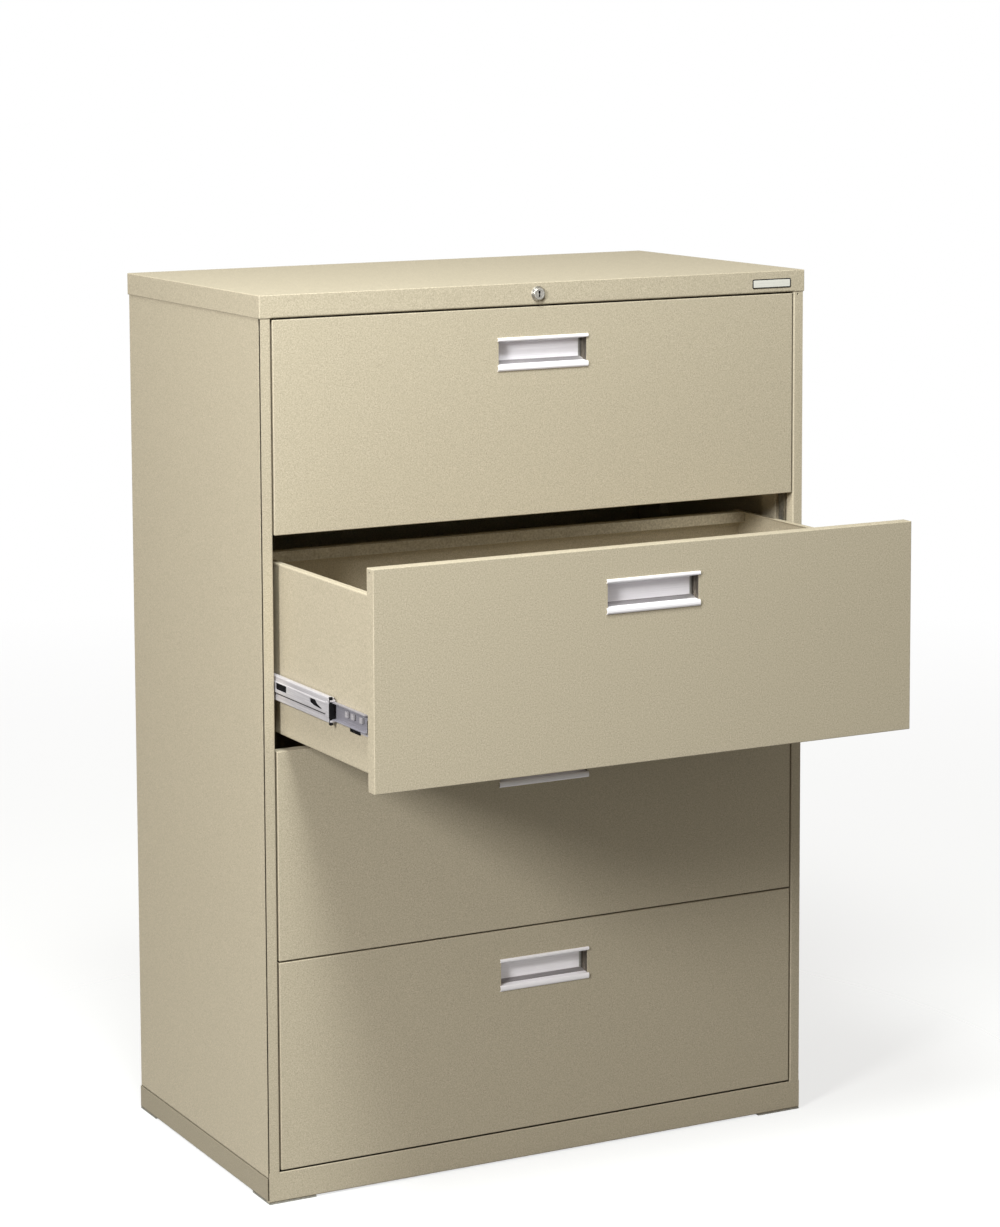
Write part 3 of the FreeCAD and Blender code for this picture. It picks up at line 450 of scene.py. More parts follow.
def pull_end():
    """The metal of the cup's round corners, with painted shade and a painted dark reflection: its colour
    darkens towards the middle of the bend and stays dark on the end wall.
    """
    material, tree, shader, place = new_material("pull_end", 0.75)
    width = add(tree, "ShaderNodeSeparateXYZ", {0: place}).outputs["X"]
    outwards = add(tree, "ShaderNodeMath", {0: width}, operation="ABSOLUTE").outputs[0]
    # Painted shade and reflection: pale where the bend starts, nearly black in its middle, dark brown on
    # the end wall beyond.
    start, middle, end = ((CUP_HALF - CUP_CORNER * part) * MM for part in (0.95, 0.4, 0.0))
    entering = spread(tree, outwards, 0.0, 1.0, start, middle)
    leaving = spread(tree, outwards, 0.0, 0.65, middle, end)
    bend = blend(tree, entering, (0.6, 0.58, 0.56, 1), (0.03, 0.022, 0.016, 1))
    wall = blend(tree, leaving, bend, (0.2, 0.175, 0.145, 1))
    grain = noise(tree, place, 300.0, 3.0)
    tree.links.new(blend(tree, spread(tree, grain, 0.0, 0.25), wall, (0.12, 0.1, 0.08, 1)),
                   shader.inputs["Base Color"])
    tree.links.new(spread(tree, grain, 0.3, 0.45), shader.inputs["Roughness"])
    return material


def make_materials():
    """Every look by its name. Metals have a dark and a light tone, and streaks along one direction."""
    along = (900.0, 12.0, 900.0)
    across = (12.0, 900.0, 900.0)
    even = (300.0, 300.0, 300.0)
    paint = (0.31, 0.268, 0.195, 1), (0.56, 0.487, 0.368, 1), (0.43, 0.375, 0.275, 1)
    # Painted shade: a darker copy of the case paint for the base's side skirts.
    skirt_shade_tones = (0.22, 0.188, 0.135, 1), (0.4, 0.344, 0.255, 1), (0.3, 0.26, 0.187, 1)
    slide = (0.47, 0.445, 0.47, 1), (0.7, 0.67, 0.7, 1)
    # Painted shade: a darker copy of the slide steel for the drawer members, whose lugs keep the steel's
    # own tone.
    drawer_member_shade_tones = (0.25, 0.24, 0.275, 1), (0.42, 0.4, 0.45, 1)
    pull = (0.86, 0.83, 0.87, 1), (0.98, 0.95, 0.99, 1)
    # Painted shade: a darker copy of the pull's metal for the cup's sloping floor.
    pull_floor_shade_tones = (0.26, 0.245, 0.25, 1), (0.44, 0.415, 0.43, 1)
    face_of_lock = (0.27, 0.255, 0.235, 1), (0.46, 0.43, 0.4, 1)
    ring_of_lock = (0.3, 0.28, 0.245, 1), (0.55, 0.52, 0.475, 1)
    steel_of_lock = (0.4, 0.38, 0.33, 1), (0.66, 0.63, 0.55, 1)
    plate = (0.78, 0.76, 0.7, 1), (0.9, 0.88, 0.82, 1)
    zinc = (0.42, 0.4, 0.36, 1), (0.7, 0.67, 0.6, 1)
    black = (0.004, 0.004, 0.005, 1), (0.012, 0.011, 0.012, 1)
    rubber = (0.03, 0.03, 0.029, 1), (0.06, 0.058, 0.055, 1)
    return {
        "case_paint": case_paint("case_paint", *paint),
        "skirt_painted_shade": case_paint("skirt_painted_shade", *skirt_shade_tones),
        "slide_steel": streaked("slide_steel", *slide, (0.3, 0.45), along, 0.35),
        "slide_steel_painted_shade": streaked("slide_steel_painted_shade", *drawer_member_shade_tones, (0.3, 0.45), along, 0.4),
        "pull_metal": streaked("pull_metal", *pull, (0.3, 0.42), across, 0.1),
        "pull_shade": streaked("pull_shade", *pull_floor_shade_tones, (0.35, 0.45), across, 0.6),
        "pull_end": pull_end(),
        "lock_face": streaked("lock_face", *face_of_lock, (0.4, 0.55), even, 0.15),
        "lock_metal": streaked("lock_metal", *ring_of_lock, (0.25, 0.38), even, 0.85),
        "lock_steel": streaked("lock_steel", *steel_of_lock, (0.3, 0.5), even, 0.9),
        "badge": streaked("badge", *plate, (0.3, 0.45), across, 0.3),
        "fastener_steel": streaked("fastener_steel", *zinc, (0.28, 0.45), even, 0.9),
        "black_plastic": plastic("black_plastic", *black, (0.6, 0.8)),
        "foot_plastic": plastic("foot_plastic", *rubber, (0.45, 0.7)),
    }


# Case

def pan(low, high, open_side, edge):
    """A box open on one side, with rounded edges. The open side is an axis and a sign."""
    mesh = bmesh.new()
    bmesh.ops.create_cube(mesh, size=1)
    for vert in mesh.verts:
        vert.co = Vector([low[axis] if vert.co[axis] < 0 else high[axis] for axis in range(3)])
    axis, sign = open_side
    level = high[axis] if sign > 0 else low[axis]
    lid = [face for face in mesh.faces if all(math.isclose(v.co[axis], level) for v in face.verts)]
    bmesh.ops.delete(mesh, geom=lid, context="FACES_ONLY")
    edges = [line for line in mesh.edges if not line.is_boundary]
    bmesh.ops.bevel(mesh, geom=edges, offset=edge, segments=5, profile=0.5, affect="EDGES")
    return mesh


def thicken(made, thickness):
    """Turn an object's surface into a sheet that lies inside it."""
    sheet = made.modifiers.new("sheet", "SOLIDIFY")
    sheet.thickness = thickness * MM
    sheet.offset = -1
    sheet.use_even_offset = True
    settle(made)


def top_cap():
    """Folded top whose front skirt is rolled back along the header's lower edge."""
    half = HALF + SHEET
    open_below = (2, -1)
    shell = thing("top_cap_shell", pan((-half, FRONT - SHEET, HEADER_LOW), (half, BACK + SHEET, TOP),
                                       open_below, CAP_EDGE))
    thicken(shell, SHEET)
    opening = bmesh.new()
    slab(opening, (-STILE, FRONT - 5, HEADER_LOW - 5),
         (STILE, FRONT + 5, HEADER_LOW + HEADER_ROLL), 0.01)
    carve(shell, opening)
    hole = bmesh.new()
    lathe(hole, [(0, -8), (LOCK_BARREL + 0.1, -8), (LOCK_BARREL + 0.1, 8), (0, 8)],
          (LOCK_X, FRONT, LOCK_LEVEL))
    carve(shell, hole)
    roll = bmesh.new()
    path = [(FRONT - SHEET, HEADER_LOW + HEADER_ROLL), (FRONT - SHEET, HEADER_LOW),
            (FRONT + HEADER_FLANGE, HEADER_LOW)]
    fold(roll, path, SHEET, 1.6, profile, -STILE, STILE)
    made = join("top_cap_sheet", [shell, thing("roll", roll)])
    finish_piece(made, "case", "case_paint", "top_cap")


def seam_angle(mesh, side):
    """Add an angle behind the seam under a side sheet, which closes the case beside the shelf."""
    outer = HALF - SEAM_ANGLE_INSET
    near, far = sorted((side * (outer - SHEET), side * outer))
    slab(mesh, (near, FRONT + 3, LOW + 8), (far, BACK - 4, SHELF + 14))
    near, far = sorted((side * (STILE - 0.5), side * (outer - 0.5)))
    slab(mesh, (near, FRONT + 8, SHELF - 2.5), (far, BACK - 4, SHELF - 1.3))


def side_panel(name, side):
    """Side sheet with a flange at the back, and the angle behind its seam."""
    mesh = bmesh.new()
    seam_angle(mesh, side)
    path = [(HALF, FRONT + PANEL_SETBACK), (HALF, BACK - SHEET),
            (HALF - SHEET - PANEL_FLANGE, BACK - SHEET)]
    fold(mesh, path, SHEET, 1.5, plan, SHELF + SEAM, TOP - SHEET, side)
    made = thing(f"{name}_side_sheet", mesh)
    soften(made, 0.35)
    finish_piece(made, "case", "case_paint", f"{name}_side_panel")


def front_post(name, side):
    """Stile and post, folded from one sheet, with a recess for the rod, and a web beside the post.

    The right one has a small hole near its upper end.
    """
    steps = POST_STEPS
    path = [(STILE, steps["back"]), (STILE, steps["recess_back"]),
            (steps["recess_x"], steps["recess_back"]), (steps["recess_x"], steps["return"]),
            (STILE, steps["return"]), (STILE, FRONT), (STILE_EDGE, FRONT)]
    mesh = bmesh.new()
    fold(mesh, path, SHEET, 1.0, plan, RAIL_TOP, TOP - SHEET, side)
    fold(mesh, path[:2], SHEET, 1.0, plan, LOW, RAIL_TOP, side)
    near, far = sorted((side * WEB_PLACE, side * (WEB_PLACE + SHEET)))
    slab(mesh, (near, FRONT + WEB_SETBACK, LOW + SHEET), (far, steps["back"], TOP - SHEET))
    made = thing(f"{name}_stile", mesh)
    if name == "right":
        hole = bmesh.new()
        outline = small_hole(STILE + STILE_HOLE_INSET, HEADER_LOW - STILE_HOLE_DROP)
        prism(hole, outline, facing, FRONT - 5, FRONT + 5)
        carve(made, hole)
    finish_piece(made, "case", "case_paint", f"{name}_front_post")


def base_pan():
    """Front rail across the whole width, the shelf behind it, the rear rail and the side skirts, which
    get a darker copy of the case paint as painted shade.
    """
    mesh = bmesh.new()
    hem = FRONT + 2 * SHEET + HEM_GAP
    rail = [(FRONT + BASE_FLANGE, LOW), (FRONT, LOW), (FRONT, RAIL_TOP)]
    shelf = [(hem, RAIL_TOP), (hem, SHELF), (BACK - SHEET, SHELF)]
    fold(mesh, list(reversed(rail + shelf)), SHEET, 1.0, profile, -STILE, STILE)
    fold(mesh, [(BACK - BASE_FLANGE, LOW), (BACK, LOW), (BACK, SHELF)], SHEET, 1.2, profile,
         -HALF + SHEET, HALF - SHEET)
    skirts = bmesh.new()
    for side in SIDES.values():
        near, far = sorted((side * STILE, side * (STILE_EDGE + SKIRT_OUT)))
        fold(mesh, list(reversed(rail)), SHEET, 1.0, profile, near, far)
        skirt = [(HALF - BASE_FLANGE, LOW), (HALF + SKIRT_OUT, LOW), (HALF + SKIRT_OUT, SHELF)]
        fold(skirts, skirt, SHEET, 1.2, facing, FRONT + PANEL_SETBACK, BACK - SHEET, side)
    finish_piece(thing("base_sheet", mesh), "case", "case_paint", "base_pan")
    # The side skirts get the darker copy of the case paint as painted shade.
    finish_piece(thing("base_skirts", skirts), "case", "case_paint", look="skirt_painted_shade")


def badge_plate():
    """Blank plate with round corners and a dark rim."""
    header = FRONT - SHEET
    face = header - BADGE_THICKNESS
    left, right, low, top = BADGE["left"], BADGE["right"], BADGE["low"], BADGE["top"]
    rim = bmesh.new()
    prism(rim, round_corners(left, low, right, top, 2.0), facing, face + 0.15, header)
    made = thing("badge_rim", rim)
    soften(made, 0.1)
    finish_piece(made, "case", "badge", look="black_plastic")
    panel = bmesh.new()
    outline = round_corners(left + BADGE_RIM, low + BADGE_RIM, right - BADGE_RIM, top - BADGE_RIM, 1.3)
    prism(panel, outline, facing, face, header - 0.1)
    made = thing("badge_panel", panel)
    soften(made, 0.12)
    finish_piece(made, "case", "badge", "badge_plate")


def pan_head_screw(x, z):
    """A screw in the back, with a cross recess that is cut one slot at a time."""
    mesh = bmesh.new()
    outline = [(0, -8), (2, -8), (2, 0), (4, 0), (4, 0.35), (3.4, 0.85), (2.2, 1.12), (0, 1.2)]
    lathe(mesh, outline, (x, BACK, z), 32)
    screw = thing("screw", mesh)
    for wide, tall in ((1.9, 0.35), (0.35, 1.9)):
        recess = bmesh.new()
        slab(recess, (x - wide, BACK + 0.3, z - tall), (x + wide, BACK + 2, z + tall), 0.05)
        carve(screw, recess)
    return screw


def screws():
    """The screws along both sides of the back."""
    parts = [pan_head_screw(side * (HALF - SHEET - SCREW_INSET), LOW + share * (TOP - LOW))
             for side in SIDES.values() for share in SCREW_SHARES]
    finish_piece(join("back_screws", parts), "case", "fastener_steel", "case_fasteners")


def lock_housing(centre, bore):
    """Tapered ring with its barrel and hexagonal nut, and a rim on its face."""
    rear = 26.2
    taper = [(7.4, 0.0), (8.2, 0.2), (8.9, 0.8), (10.0, 2.4), (10.8, 3.7), (LOCK_RING, 4.6),
             (LOCK_RING, 5.0)]
    ring = bmesh.new()
    lathe(ring, [(bore, rear), (bore, 0.5), (bore + 0.2, 0.2), *taper, (LOCK_BARREL, 5.0),
                 (LOCK_BARREL, rear), (bore, rear)], centre)
    nut = [(LOCK_BARREL, 6.2), (12.5, 6.2), (12.5, 9.2), (LOCK_BARREL, 9.2), (LOCK_BARREL, 6.2)]
    lathe(ring, nut, centre, 6)
    finish_piece(thing("lock_ring", ring), "case", "lock_metal", "lock_housing")
    rim = bmesh.new()
    lathe(rim, [(bore, 0.6), (bore, 0.1), (bore + 0.2, -0.1), (7.9, -0.1), (8.3, 0.05), (8.6, 0.6),
                (bore, 0.6)], centre)
    finish_piece(thing("lock_rim", rim), "case", "lock_metal", look="lock_face")


def lock_plug(centre):
    """Core with a keyway, and a black block behind the keyway as painted shade."""
    core = bmesh.new()
    rear = 26.7
    lathe(core, [(0, 0.3), (PLUG - 0.4, 0.3), (PLUG, 0.6), (PLUG, rear), (0, rear)], centre)
    made = thing("lock_core", core)
    keyway = [(-1.5, -4.8), (1.5, -4.8), (1.5, -1.4), (1.1, -0.6), (1.4, 0.4), (2.0, 1.2), (2.0, 3.4),
              (1.4, 4.8), (-1.4, 4.8), (-2.0, 3.4), (-2.0, 1.2), (-1.2, 0.4), (-1.0, -0.6), (-1.5, -1.4)]
    slot = bmesh.new()
    prism(slot, [(LOCK_X + u, LOCK_LEVEL + v) for u, v in keyway], facing, LOCK_FACE - 2, LOCK_FACE + 9)
    carve(made, slot)
    finish_piece(made, "lock", "lock_metal", "lock_plug", look="lock_face")
    # Painted shade: a black block in the keyway, where its depth is dark.
    keyway_shade_block = bmesh.new()
    slab(keyway_shade_block, (LOCK_X - 2.2, LOCK_FACE + 1.2, LOCK_LEVEL - 5.0),
         (LOCK_X + 2.2, LOCK_FACE + 9, LOCK_LEVEL + 5.0))
    finish_piece(thing("keyway_painted_shade", keyway_shade_block), "lock", "lock_metal", look="black_plastic")


# Drawers

def pulled(drawer, y):
    """A place on the closed drawer, moved to where the shown drawer stands."""
    return y - SHOWN_OPEN if drawer == OPEN_DRAWER else y


def half_pulled(drawer, y):
    """The same for a middle slide member, which follows its drawer by a share."""
    return y - SHOWN_OPEN * MIDDLE_SHARE if drawer == OPEN_DRAWER else y


def front_top(drawer):
    """The height of a drawer front's upper edge."""
    return FIRST_TOP - (drawer - 1) * PITCH


def drawer_front(drawer):
    """Hollow front with round edges, the pull's opening and a small hole in each side."""
    top = front_top(drawer)
    face = pulled(drawer, FRONT)
    open_behind = (1, 1)
    shell = pan((-FRONT_HALF, face, top - FRONT_HEIGHT), (FRONT_HALF, face + FRONT_DEPTH, top),
                open_behind, FRONT_EDGE)
    made = thing(f"drawer_{drawer}_face", shell)
    thicken(made, FRONT_SHEET)
    low = top - PULL_DROP
    mouth = bmesh.new()
    outline = [(-CUP_HALF, low + MOUTH_LOW), (CUP_HALF, low + MOUTH_LOW),
               (CUP_HALF, low + MOUTH_HIGH), (-CUP_HALF, low + MOUTH_HIGH)]
    prism(mouth, outline, facing, face - 3, face + 10)
    carve(made, mouth)
    holes = bmesh.new()
    prism(holes, small_hole(face + FRONT_HOLE_DEPTH, top - FRONT_HOLE_DROP), profile,
          -FRONT_HALF - 2, FRONT_HALF + 2)
    carve(made, holes)
    finish_piece(made, f"drawer_{drawer}", "case_paint", f"drawer_{drawer}_front")


def cup_end():
    """The outline, seen from above, of the cup's right end with its round corner."""
    steps = 8
    outer = CUP_HALF + PULL_WALL
    rear = CUP_DEPTH + PULL_WALL
    bend = [(CUP_HALF - CUP_CORNER * (1 - math.cos(angle)),
             CUP_DEPTH - CUP_CORNER * (1 - math.sin(angle)))
            for angle in (math.pi / 2 * step / steps for step in range(steps + 1))]
    return [(outer, 1.1), (CUP_HALF, 1.1), *bend, (CUP_HALF - CUP_CORNER, rear), (outer, rear)]


def drawer_pull(drawer):
    """Recessed pull: rolled lips over a cup with a sloping floor and round corners at both ends. The
    floor and the corners are darkened as painted shade.
    """
    face = pulled(drawer, FRONT)
    low = front_top(drawer) - PULL_DROP
    body = f"drawer_{drawer}"
    depth = CUP_DEPTH
    slope = [(depth, 15.2), (depth - 5.4, 9.8)]
    upper = [(0.1, PULL_HEIGHT - 0.1), (-1.3, PULL_HEIGHT - 0.1), (-2.5, 47.8), (-2.5, 45.4),
             (-1.4, 43.9), (depth, 43.9), slope[0]]
    lower = [slope[1], (-0.4, 8.9), (-2.0, 8.2), (-2.7, 5.6), (-2.6, 2.6), (-1.5, 0.3), (0.1, 0.1)]
    shell = []
    for section in (upper, lower):
        mesh = bmesh.new()
        path = [(face + y, low + z) for y, z in section]
        fold(mesh, path, PULL_WALL, 0.9, profile, -PULL_HALF, PULL_HALF)
        made = thing(f"{body}_pull_part", mesh)
        for side in SIDES.values():
            beyond = bmesh.new()
            near, far = sorted((side * CUP_HALF, side * (PULL_HALF + 5)))
            slab(beyond, (near, face + 0.02, low - 5), (far, face + 30, low + 60), 0.01)
            carve(made, beyond)
        shell.append(made)
    finish_piece(join(f"{body}_pull_shell", shell), body, "pull_metal", f"{body}_pull")
    mesh = bmesh.new()
    fold(mesh, [(face + y, low + z) for y, z in slope], PULL_WALL, 1.5, profile, -CUP_HALF, CUP_HALF)
    # The sloping floor gets a darker copy of the pull's metal as painted shade.
    finish_piece(thing(f"{body}_pull_floor", mesh), body, "pull_metal", look="pull_shade")
    mesh = bmesh.new()
    outline = cup_end()
    for side in SIDES.values():
        prism(mesh, [(side * x, face + y) for x, y in outline], plan, low + CUP_LOW, low + CUP_HIGH)
    # The cup's ends get painted shade and a painted dark reflection in their colour.
    finish_piece(thing(f"{body}_pull_ends", mesh), body, "pull_metal", look="pull_end")


def drawer_tray(drawer):
    """Floor and sides folded from one sheet with flanges, a back, and flanges behind the front."""
    front = pulled(drawer, FRONT + FRONT_DEPTH)
    back = pulled(drawer, TRAY_BACK)
    low = front_top(drawer) - FRONT_HEIGHT + TRAY_RISE
    top = front_top(drawer) - TRAY_DROP
    lip = TRAY_HALF - SHEET - TRAY_FLANGE
    mesh = bmesh.new()
    path = [(-lip, top), (-TRAY_HALF, top), (-TRAY_HALF, low), (TRAY_HALF, low), (TRAY_HALF, top),
            (lip, top)]
    fold(mesh, path, SHEET, 1.5, facing, front, back)
    inner = TRAY_HALF - SHEET
    path = [(back, low + SHEET), (back, top - SHEET), (back - TRAY_BACK_FLANGE, top - SHEET)]
    fold(mesh, path, SHEET, 1.2, profile, -inner, inner)
    for side in SIDES.values():
        near, far = sorted((side * inner, side * (inner - TRAY_FRONT_FLANGE)))
        slab(mesh, (near, front, low + SHEET), (far, front + SHEET, top - SHEET))
    made = thing(f"drawer_{drawer}_body", mesh)
    finish_piece(made, f"drawer_{drawer}", "case_paint", f"drawer_{drawer}_tray")


# Slides

def slide_level(drawer):
    """The height of the slides' middle."""
    return front_top(drawer) - FRONT_HEIGHT + SLIDE_RISE


def plain_section(web, lip, half):
    """A slide member's section: a web with a flange above and below."""
    return [(lip, half), (web, half), (web, -half), (lip, -half)]


def channel(mesh, side, section, level, front, back, outwards=False):
    """Add a folded slide member, open inwards or outwards."""
    path = [(TRAY_HALF + x, level + z) for x, z in section]
    if not outwards:
        path = list(reversed(path))
    fold(mesh, path, SLIDE_WALL, 0.8, facing, front, back, side)


def block(mesh, side, widths, lengths, heights, edge=0.3):
    """Add a block beside the tray, with widths measured outwards from the tray's side."""
    near, far = sorted(side * (TRAY_HALF + width) for width in widths)
    slab(mesh, (near, lengths[0], heights[0]), (far, lengths[1], heights[1]), edge)


def window(side, y, z, long, tall, radius):
    """A cutter for a window with round corners through a slide member's web."""
    tool = bmesh.new()
    outline = round_corners(y - long / 2, z - tall / 2, y + long / 2, z + tall / 2, radius)
    near, far = sorted((side * (TRAY_HALF - 3), side * (TRAY_HALF + SLIDE_WIDTH + 2)))
    prism(tool, outline, profile, near, far)
    return tool


def case_rails(name, side):
    """Members fixed to the posts, each with a row of slots."""
    rails = []
    section = plain_section(SLIDE_WIDTH, SLIDE_WIDTH - RAIL_FLANGE["case"], RAIL_HALF["case"])
    for drawer in DRAWERS:
        mesh = bmesh.new()
        channel(mesh, side, section, slide_level(drawer), SLIDE_FRONT, SLIDE_FRONT + SLIDE_LENGTH)
        rail = thing("rail", mesh)
        for share in CASE_SLOT_SHARES:
            place = SLIDE_FRONT + share * SLIDE_LENGTH
            carve(rail, window(side, place, slide_level(drawer), 9.0, 5.4, 2.69))
        rails.append(rail)
    finish_piece(join(f"{name}_case_members", rails), "case", "slide_steel", f"{name}_case_rails")


def middle_rails(drawer):
    """Middle members, with a raised band, windows and a plate at the front."""
    level = slide_level(drawer)
    front = half_pulled(drawer, SLIDE_FRONT)
    web = SLIDE_WIDTH - MIDDLE_INSET
    band = web - BAND_DEPTH
    lip = web - RAIL_FLANGE["middle"]
    half = RAIL_HALF["middle"]
    section = [(lip, half), (band, half), (band, 10.4), (web, 9.4), (web, -5.8), (band, -6.8),
               (band, -half), (lip, -half)]
    rails = []
    for side in SIDES.values():
        mesh = bmesh.new()
        channel(mesh, side, section, level, front, front + SLIDE_LENGTH)
        rail = thing("rail", mesh)
        opening = [(64, 7.4), (46, 7.8), (39, 3.0), (25, -1.0), (25, -2.6), (53, -1.4), (64, 1.0)]
        hole = bmesh.new()
        near, far = sorted((side * (TRAY_HALF + lip), side * (TRAY_HALF + web + 2)))
        prism(hole, [(front + y, level + z) for y, z in opening], profile, near, far)
        carve(rail, hole)
        carve(rail, window(side, front + 160, level + 3.8, 36.0, 10.0, 0.8))
        plate = bmesh.new()
        outer = web + 0.6
        block(plate, side, (band - 1, outer), (front + 0.2, front + 12), (level - 9, level + 11.5), 0.5)
        block(plate, side, (lip, outer), (front - 4.4, front + 4.8), (level + 12.9, level + 15.8), 0.5)
        block(plate, side, (lip, outer), (front - 4.4, front + 4), (level - 15.8, level - 12.9), 0.5)
        rails += [rail, thing("plate", plate)]
    made = join(f"drawer_{drawer}_middle_members", rails)
    finish_piece(made, f"drawer_{drawer}_slides", "slide_steel", f"drawer_{drawer}_middle_rails")


def drawer_rails(drawer):
    """Drawer members, darker as painted shade, with a lug in each window, and black blocks as painted
    shade behind the windows, below the front and at the front end.
    """
    level = slide_level(drawer)
    front = pulled(drawer, DRAWER_RAIL_FRONT)
    rails = []
    bright = []
    shade_blocks = bmesh.new()
    section = plain_section(0.0, RAIL_FLANGE["drawer"], RAIL_HALF["drawer"])
    for side in SIDES.values():
        mesh = bmesh.new()
        channel(mesh, side, section, level, front, front + DRAWER_RAIL_LENGTH, True)
        rail = thing("rail", mesh)
        lugs = bmesh.new()
        for place in (front + inwards for inwards in DRAWER_WINDOW_PLACES):
            carve(rail, window(side, place, level + 1.5, 12.0, 9.0, 0.8))
            block(lugs, side, (-1, 3.6), (place - 2.2, place + 5.2), (level - 2.6, level + 5.6))
            # Painted shade: a black block behind each window.
            block(shade_blocks, side, (-0.8, 0.2), (place - 7, place + 7), (level - 4, level + 7))
        block(lugs, side, (0, 1.3), (front, front + 25), (level - 18.4, level - RAIL_HALF["drawer"] + 1))
        rails.append(rail)
        bright.append(thing("lugs", lugs))
        # Painted shade: a black block for a dark slot below the front.
        block(shade_blocks, side, (0.1, 2.6), (front + 26, front + 56), (level - 20.4, level - 12.8), 0.5)
        # Painted shade: a black block in the dark gap at the front end.
        block(shade_blocks, side, (0.1, 3.8), (front - 3.5, front - 0.2), (level - 12.0, level + 5.5), 0.5)
    body = f"drawer_{drawer}"
    # The drawer members get the darker slide steel as painted shade.
    finish_piece(join(f"{body}_drawer_members", rails), body, "slide_steel", f"{body}_drawer_rails",
                 look="slide_steel_painted_shade")
    finish_piece(join(f"{body}_slide_lugs", bright), body, "slide_steel")
    finish_piece(thing(f"{body}_slide_shade_blocks", shade_blocks), body, "black_plastic")


def middle_trim(mesh, side, level, front, web, inside):
    """Add a middle member's black parts: its retainer, and black blocks as painted shade behind its
    windows and as a line under its band.
    """
    outer = web + 1.3
    block(mesh, side, (4.2, outer), (front - 4.8, front - 0.4), (level - 11.0, level + 11.0), 0.8)
    for up in (1, -1):
        heights = sorted((level + up * 15.9, level + up * 19.8))
        block(mesh, side, (7.0, outer), (front - 4.8, front - 0.3), heights, 0.8)
    for up in (1, -1):
        heights = sorted((level + up * 10, level + up * 16.5))
        block(mesh, side, (8.3, web + 0.9), (front - 3.2, front - 1), heights, 0.5)
    # Painted shade: black blocks behind the windows.
    shade_behind_windows = (inside + 0.3, inside + 0.9)
    block(mesh, side, shade_behind_windows, (front + 23, front + 67), (level - 3.2, level + 8.8))
    block(mesh, side, shade_behind_windows, (front + 141, front + 179), (level - 2.0, level + 9.0))
    # Painted shade: a black line for the shadow under the band's lower step.
    block(mesh, side, (web - 0.9, web - 0.1), (front + 14, front + SLIDE_LENGTH - 20),
          (level - 7.3, level - 6.3), 0.1)


def ball_runs(drawer):
    """Black cages with their balls between the members, and the middle members' black parts, some of
    them painted shade.
    """
    level = slide_level(drawer)
    front = half_pulled(drawer, SLIDE_FRONT)
    web = SLIDE_WIDTH - MIDDLE_INSET
    inside = web - BAND_DEPTH - SLIDE_WALL - 0.1
    rear = front + SLIDE_LENGTH - RETAINER - CAGE_LENGTH
    runs = [(front + RETAINER, 14.75, 1.0), (rear, 14.75, 1.0), (rear, 19.45, 1.0)]
    cages = bmesh.new()
    balls = bmesh.new()
    for side in SIDES.values():
        middle = side * (TRAY_HALF + inside - 2)
        for start, height, half in runs:
            for z in (level + height, level - height):
                lengths = (start, start + CAGE_LENGTH)
                block(cages, side, (inside - 4, inside), lengths, (z - half, z + half))
                for step in range(BALLS_A_CAGE):
                    spot = Matrix.Translation((middle, start + 6 + BALL_STEP * step, z))
                    bmesh.ops.create_icosphere(balls, subdivisions=2, radius=half + 0.2, matrix=spot)
        middle_trim(cages, side, level, front, web, inside)
    body = f"drawer_{drawer}_slides"
    finish_piece(thing(f"drawer_{drawer}_cages", cages), body, "black_plastic",
                 f"drawer_{drawer}_ball_cages")
    finish_piece(thing(f"drawer_{drawer}_balls", balls), body, "slide_steel")


# Carried-over solids

def dress_frame():
    """Give the solids that stay their finished materials, by the names of their slots."""
    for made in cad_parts.values():
        for entry in made.material_slots:
            entry.material = materials[entry.material.name.split(".")[0]]


# Stage

FLOOR_RADIUS = 7000
FRAME_WIDE = 1000
FRAME_TALL = 1227
SENSOR = 36


def floor():
    """A pale, partly clear floor that fades out between 0.6 m and 4.5 m from the cabinet's middle."""
    mesh = bmesh.new()
    bmesh.ops.create_circle(mesh, cap_ends=True, segments=96, radius=FLOOR_RADIUS)
    made = thing("floor", mesh)
    material = bpy.data.materials.new("floor")
    material.use_nodes = True
    tree = material.node_tree
    place = add(tree, "ShaderNodeTexCoord").outputs["Object"]
    shader = tree.nodes["Principled BSDF"]
    shader.inputs["Base Color"].default_value = (0.98, 0.98, 0.97, 1)
    shader.inputs["Roughness"].default_value = 0.9
    away = add(tree, "ShaderNodeVectorMath", {0: place}, operation="LENGTH").outputs["Value"]
    share = spread(tree, away, 0.72, 1.0, 0.6, 4.5)
    clear = add(tree, "ShaderNodeBsdfTransparent").outputs[0]
    mix = add(tree, "ShaderNodeMixShader", {0: share, 1: shader.outputs[0], 2: clear})
    tree.links.new(mix.outputs[0], tree.nodes["Material Output"].inputs["Surface"])
    made.data.materials.append(material)


def studio_world():
    """Soft light from all round, brighter from above, behind a white background."""
    world = bpy.data.worlds.new("studio")
    bpy.context.scene.world = world
    world.use_nodes = True
    tree = world.node_tree
    tree.nodes.clear()
    direction = add(tree, "ShaderNodeTexCoord").outputs["Generated"]
    height = add(tree, "ShaderNodeSeparateXYZ", {0: direction}).outputs["Z"]
    soft = add(tree, "ShaderNodeBackground",
               {"Color": (1.0, 0.935, 0.81, 1), "Strength": spread(tree, height, 0.03, 0.37, -0.1, 0.1)})
    white = add(tree, "ShaderNodeBackground", {"Color": (1, 1, 1, 1), "Strength": 1.0})
    seen = add(tree, "ShaderNodeLightPath").outputs["Is Camera Ray"]
    mix = add(tree, "ShaderNodeMixShader", {0: seen, 1: soft.outputs[0], 2: white.outputs[0]})
    out = add(tree, "ShaderNodeOutputWorld")
    tree.links.new(mix.outputs[0], out.inputs["Surface"])


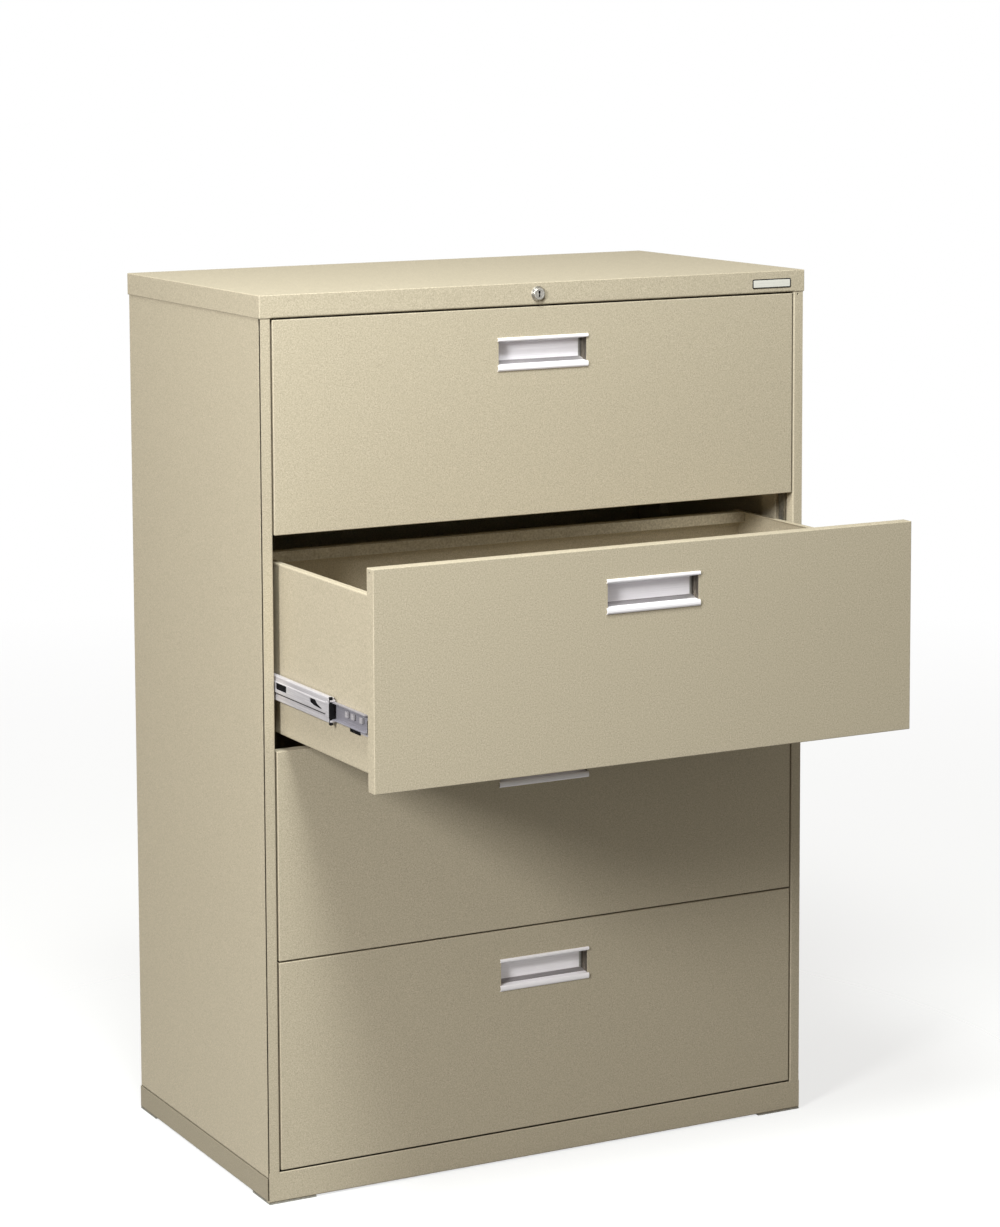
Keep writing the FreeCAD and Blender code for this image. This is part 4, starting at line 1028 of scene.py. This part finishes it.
def lamp(name, place, size, power, tint):
    """A square soft light that points at the cabinet."""
    light = bpy.data.lights.new(name, "AREA")
    light.size = size
    light.energy = power
    light.color = tint
    made = bpy.data.objects.new(name, light)
    bpy.context.scene.collection.objects.link(made)
    made.location = place
    made.rotation_mode = "QUATERNION"
    made.rotation_quaternion = (Vector((0, 0, 0.9)) - Vector(place)).to_track_quat("-Z", "Y")


def camera():
    """The photograph's viewpoint, with the focal length and the optical centre in the frame's pixels."""
    azimuth, elevation, roll = (math.radians(angle) for angle in (26.74, 6.041, -0.411))
    focal = 3314.4
    centre = (400, 368)
    ahead = Vector((math.sin(azimuth) * math.cos(elevation), math.cos(azimuth) * math.cos(elevation),
                    -math.sin(elevation)))
    across = Vector((math.cos(azimuth), -math.sin(azimuth), 0))
    up = across.cross(ahead)
    right = across * math.cos(roll) + up * math.sin(roll)
    above = up * math.cos(roll) - across * math.sin(roll)
    lens = bpy.data.cameras.new("camera")
    lens.sensor_width = SENSOR
    lens.lens = focal / FRAME_TALL * SENSOR
    lens.shift_x = (FRAME_WIDE / 2 - centre[0]) / FRAME_TALL
    lens.shift_y = (centre[1] - FRAME_TALL / 2) / FRAME_TALL
    lens.clip_end = 100
    made = bpy.data.objects.new("camera", lens)
    bpy.context.scene.collection.objects.link(made)
    place = Vector((-2374.1, -4488.2, 1712.3)) * MM
    turn = Matrix((right, above, -ahead)).transposed()
    made.matrix_world = Matrix.Translation(place) @ turn.to_4x4()
    bpy.context.scene.camera = made


# The scene

materials = make_materials()
top_cap()
for name, side in SIDES.items():
    side_panel(name, side)
    front_post(name, side)
    case_rails(name, side)
base_pan()
badge_plate()
screws()
lock_housing((LOCK_X, LOCK_FACE, LOCK_LEVEL), PLUG + 0.05)
lock_plug((LOCK_X, LOCK_FACE, LOCK_LEVEL))
for drawer in DRAWERS:
    drawer_front(drawer)
    drawer_pull(drawer)
    drawer_tray(drawer)
    middle_rails(drawer)
    drawer_rails(drawer)
    ball_runs(drawer)
dress_frame()
floor()
studio_world()
lamp("key", (-3.32, -2.03, 2.32), size=0.8, power=158.0, tint=(0.985, 1.0, 0.985))
lamp("above", (-0.98, -1.62, 3.69), size=0.85, power=137.0, tint=(0.96, 1.015, 1.0))
camera()
bpy.context.scene.view_settings.view_transform = "Standard"
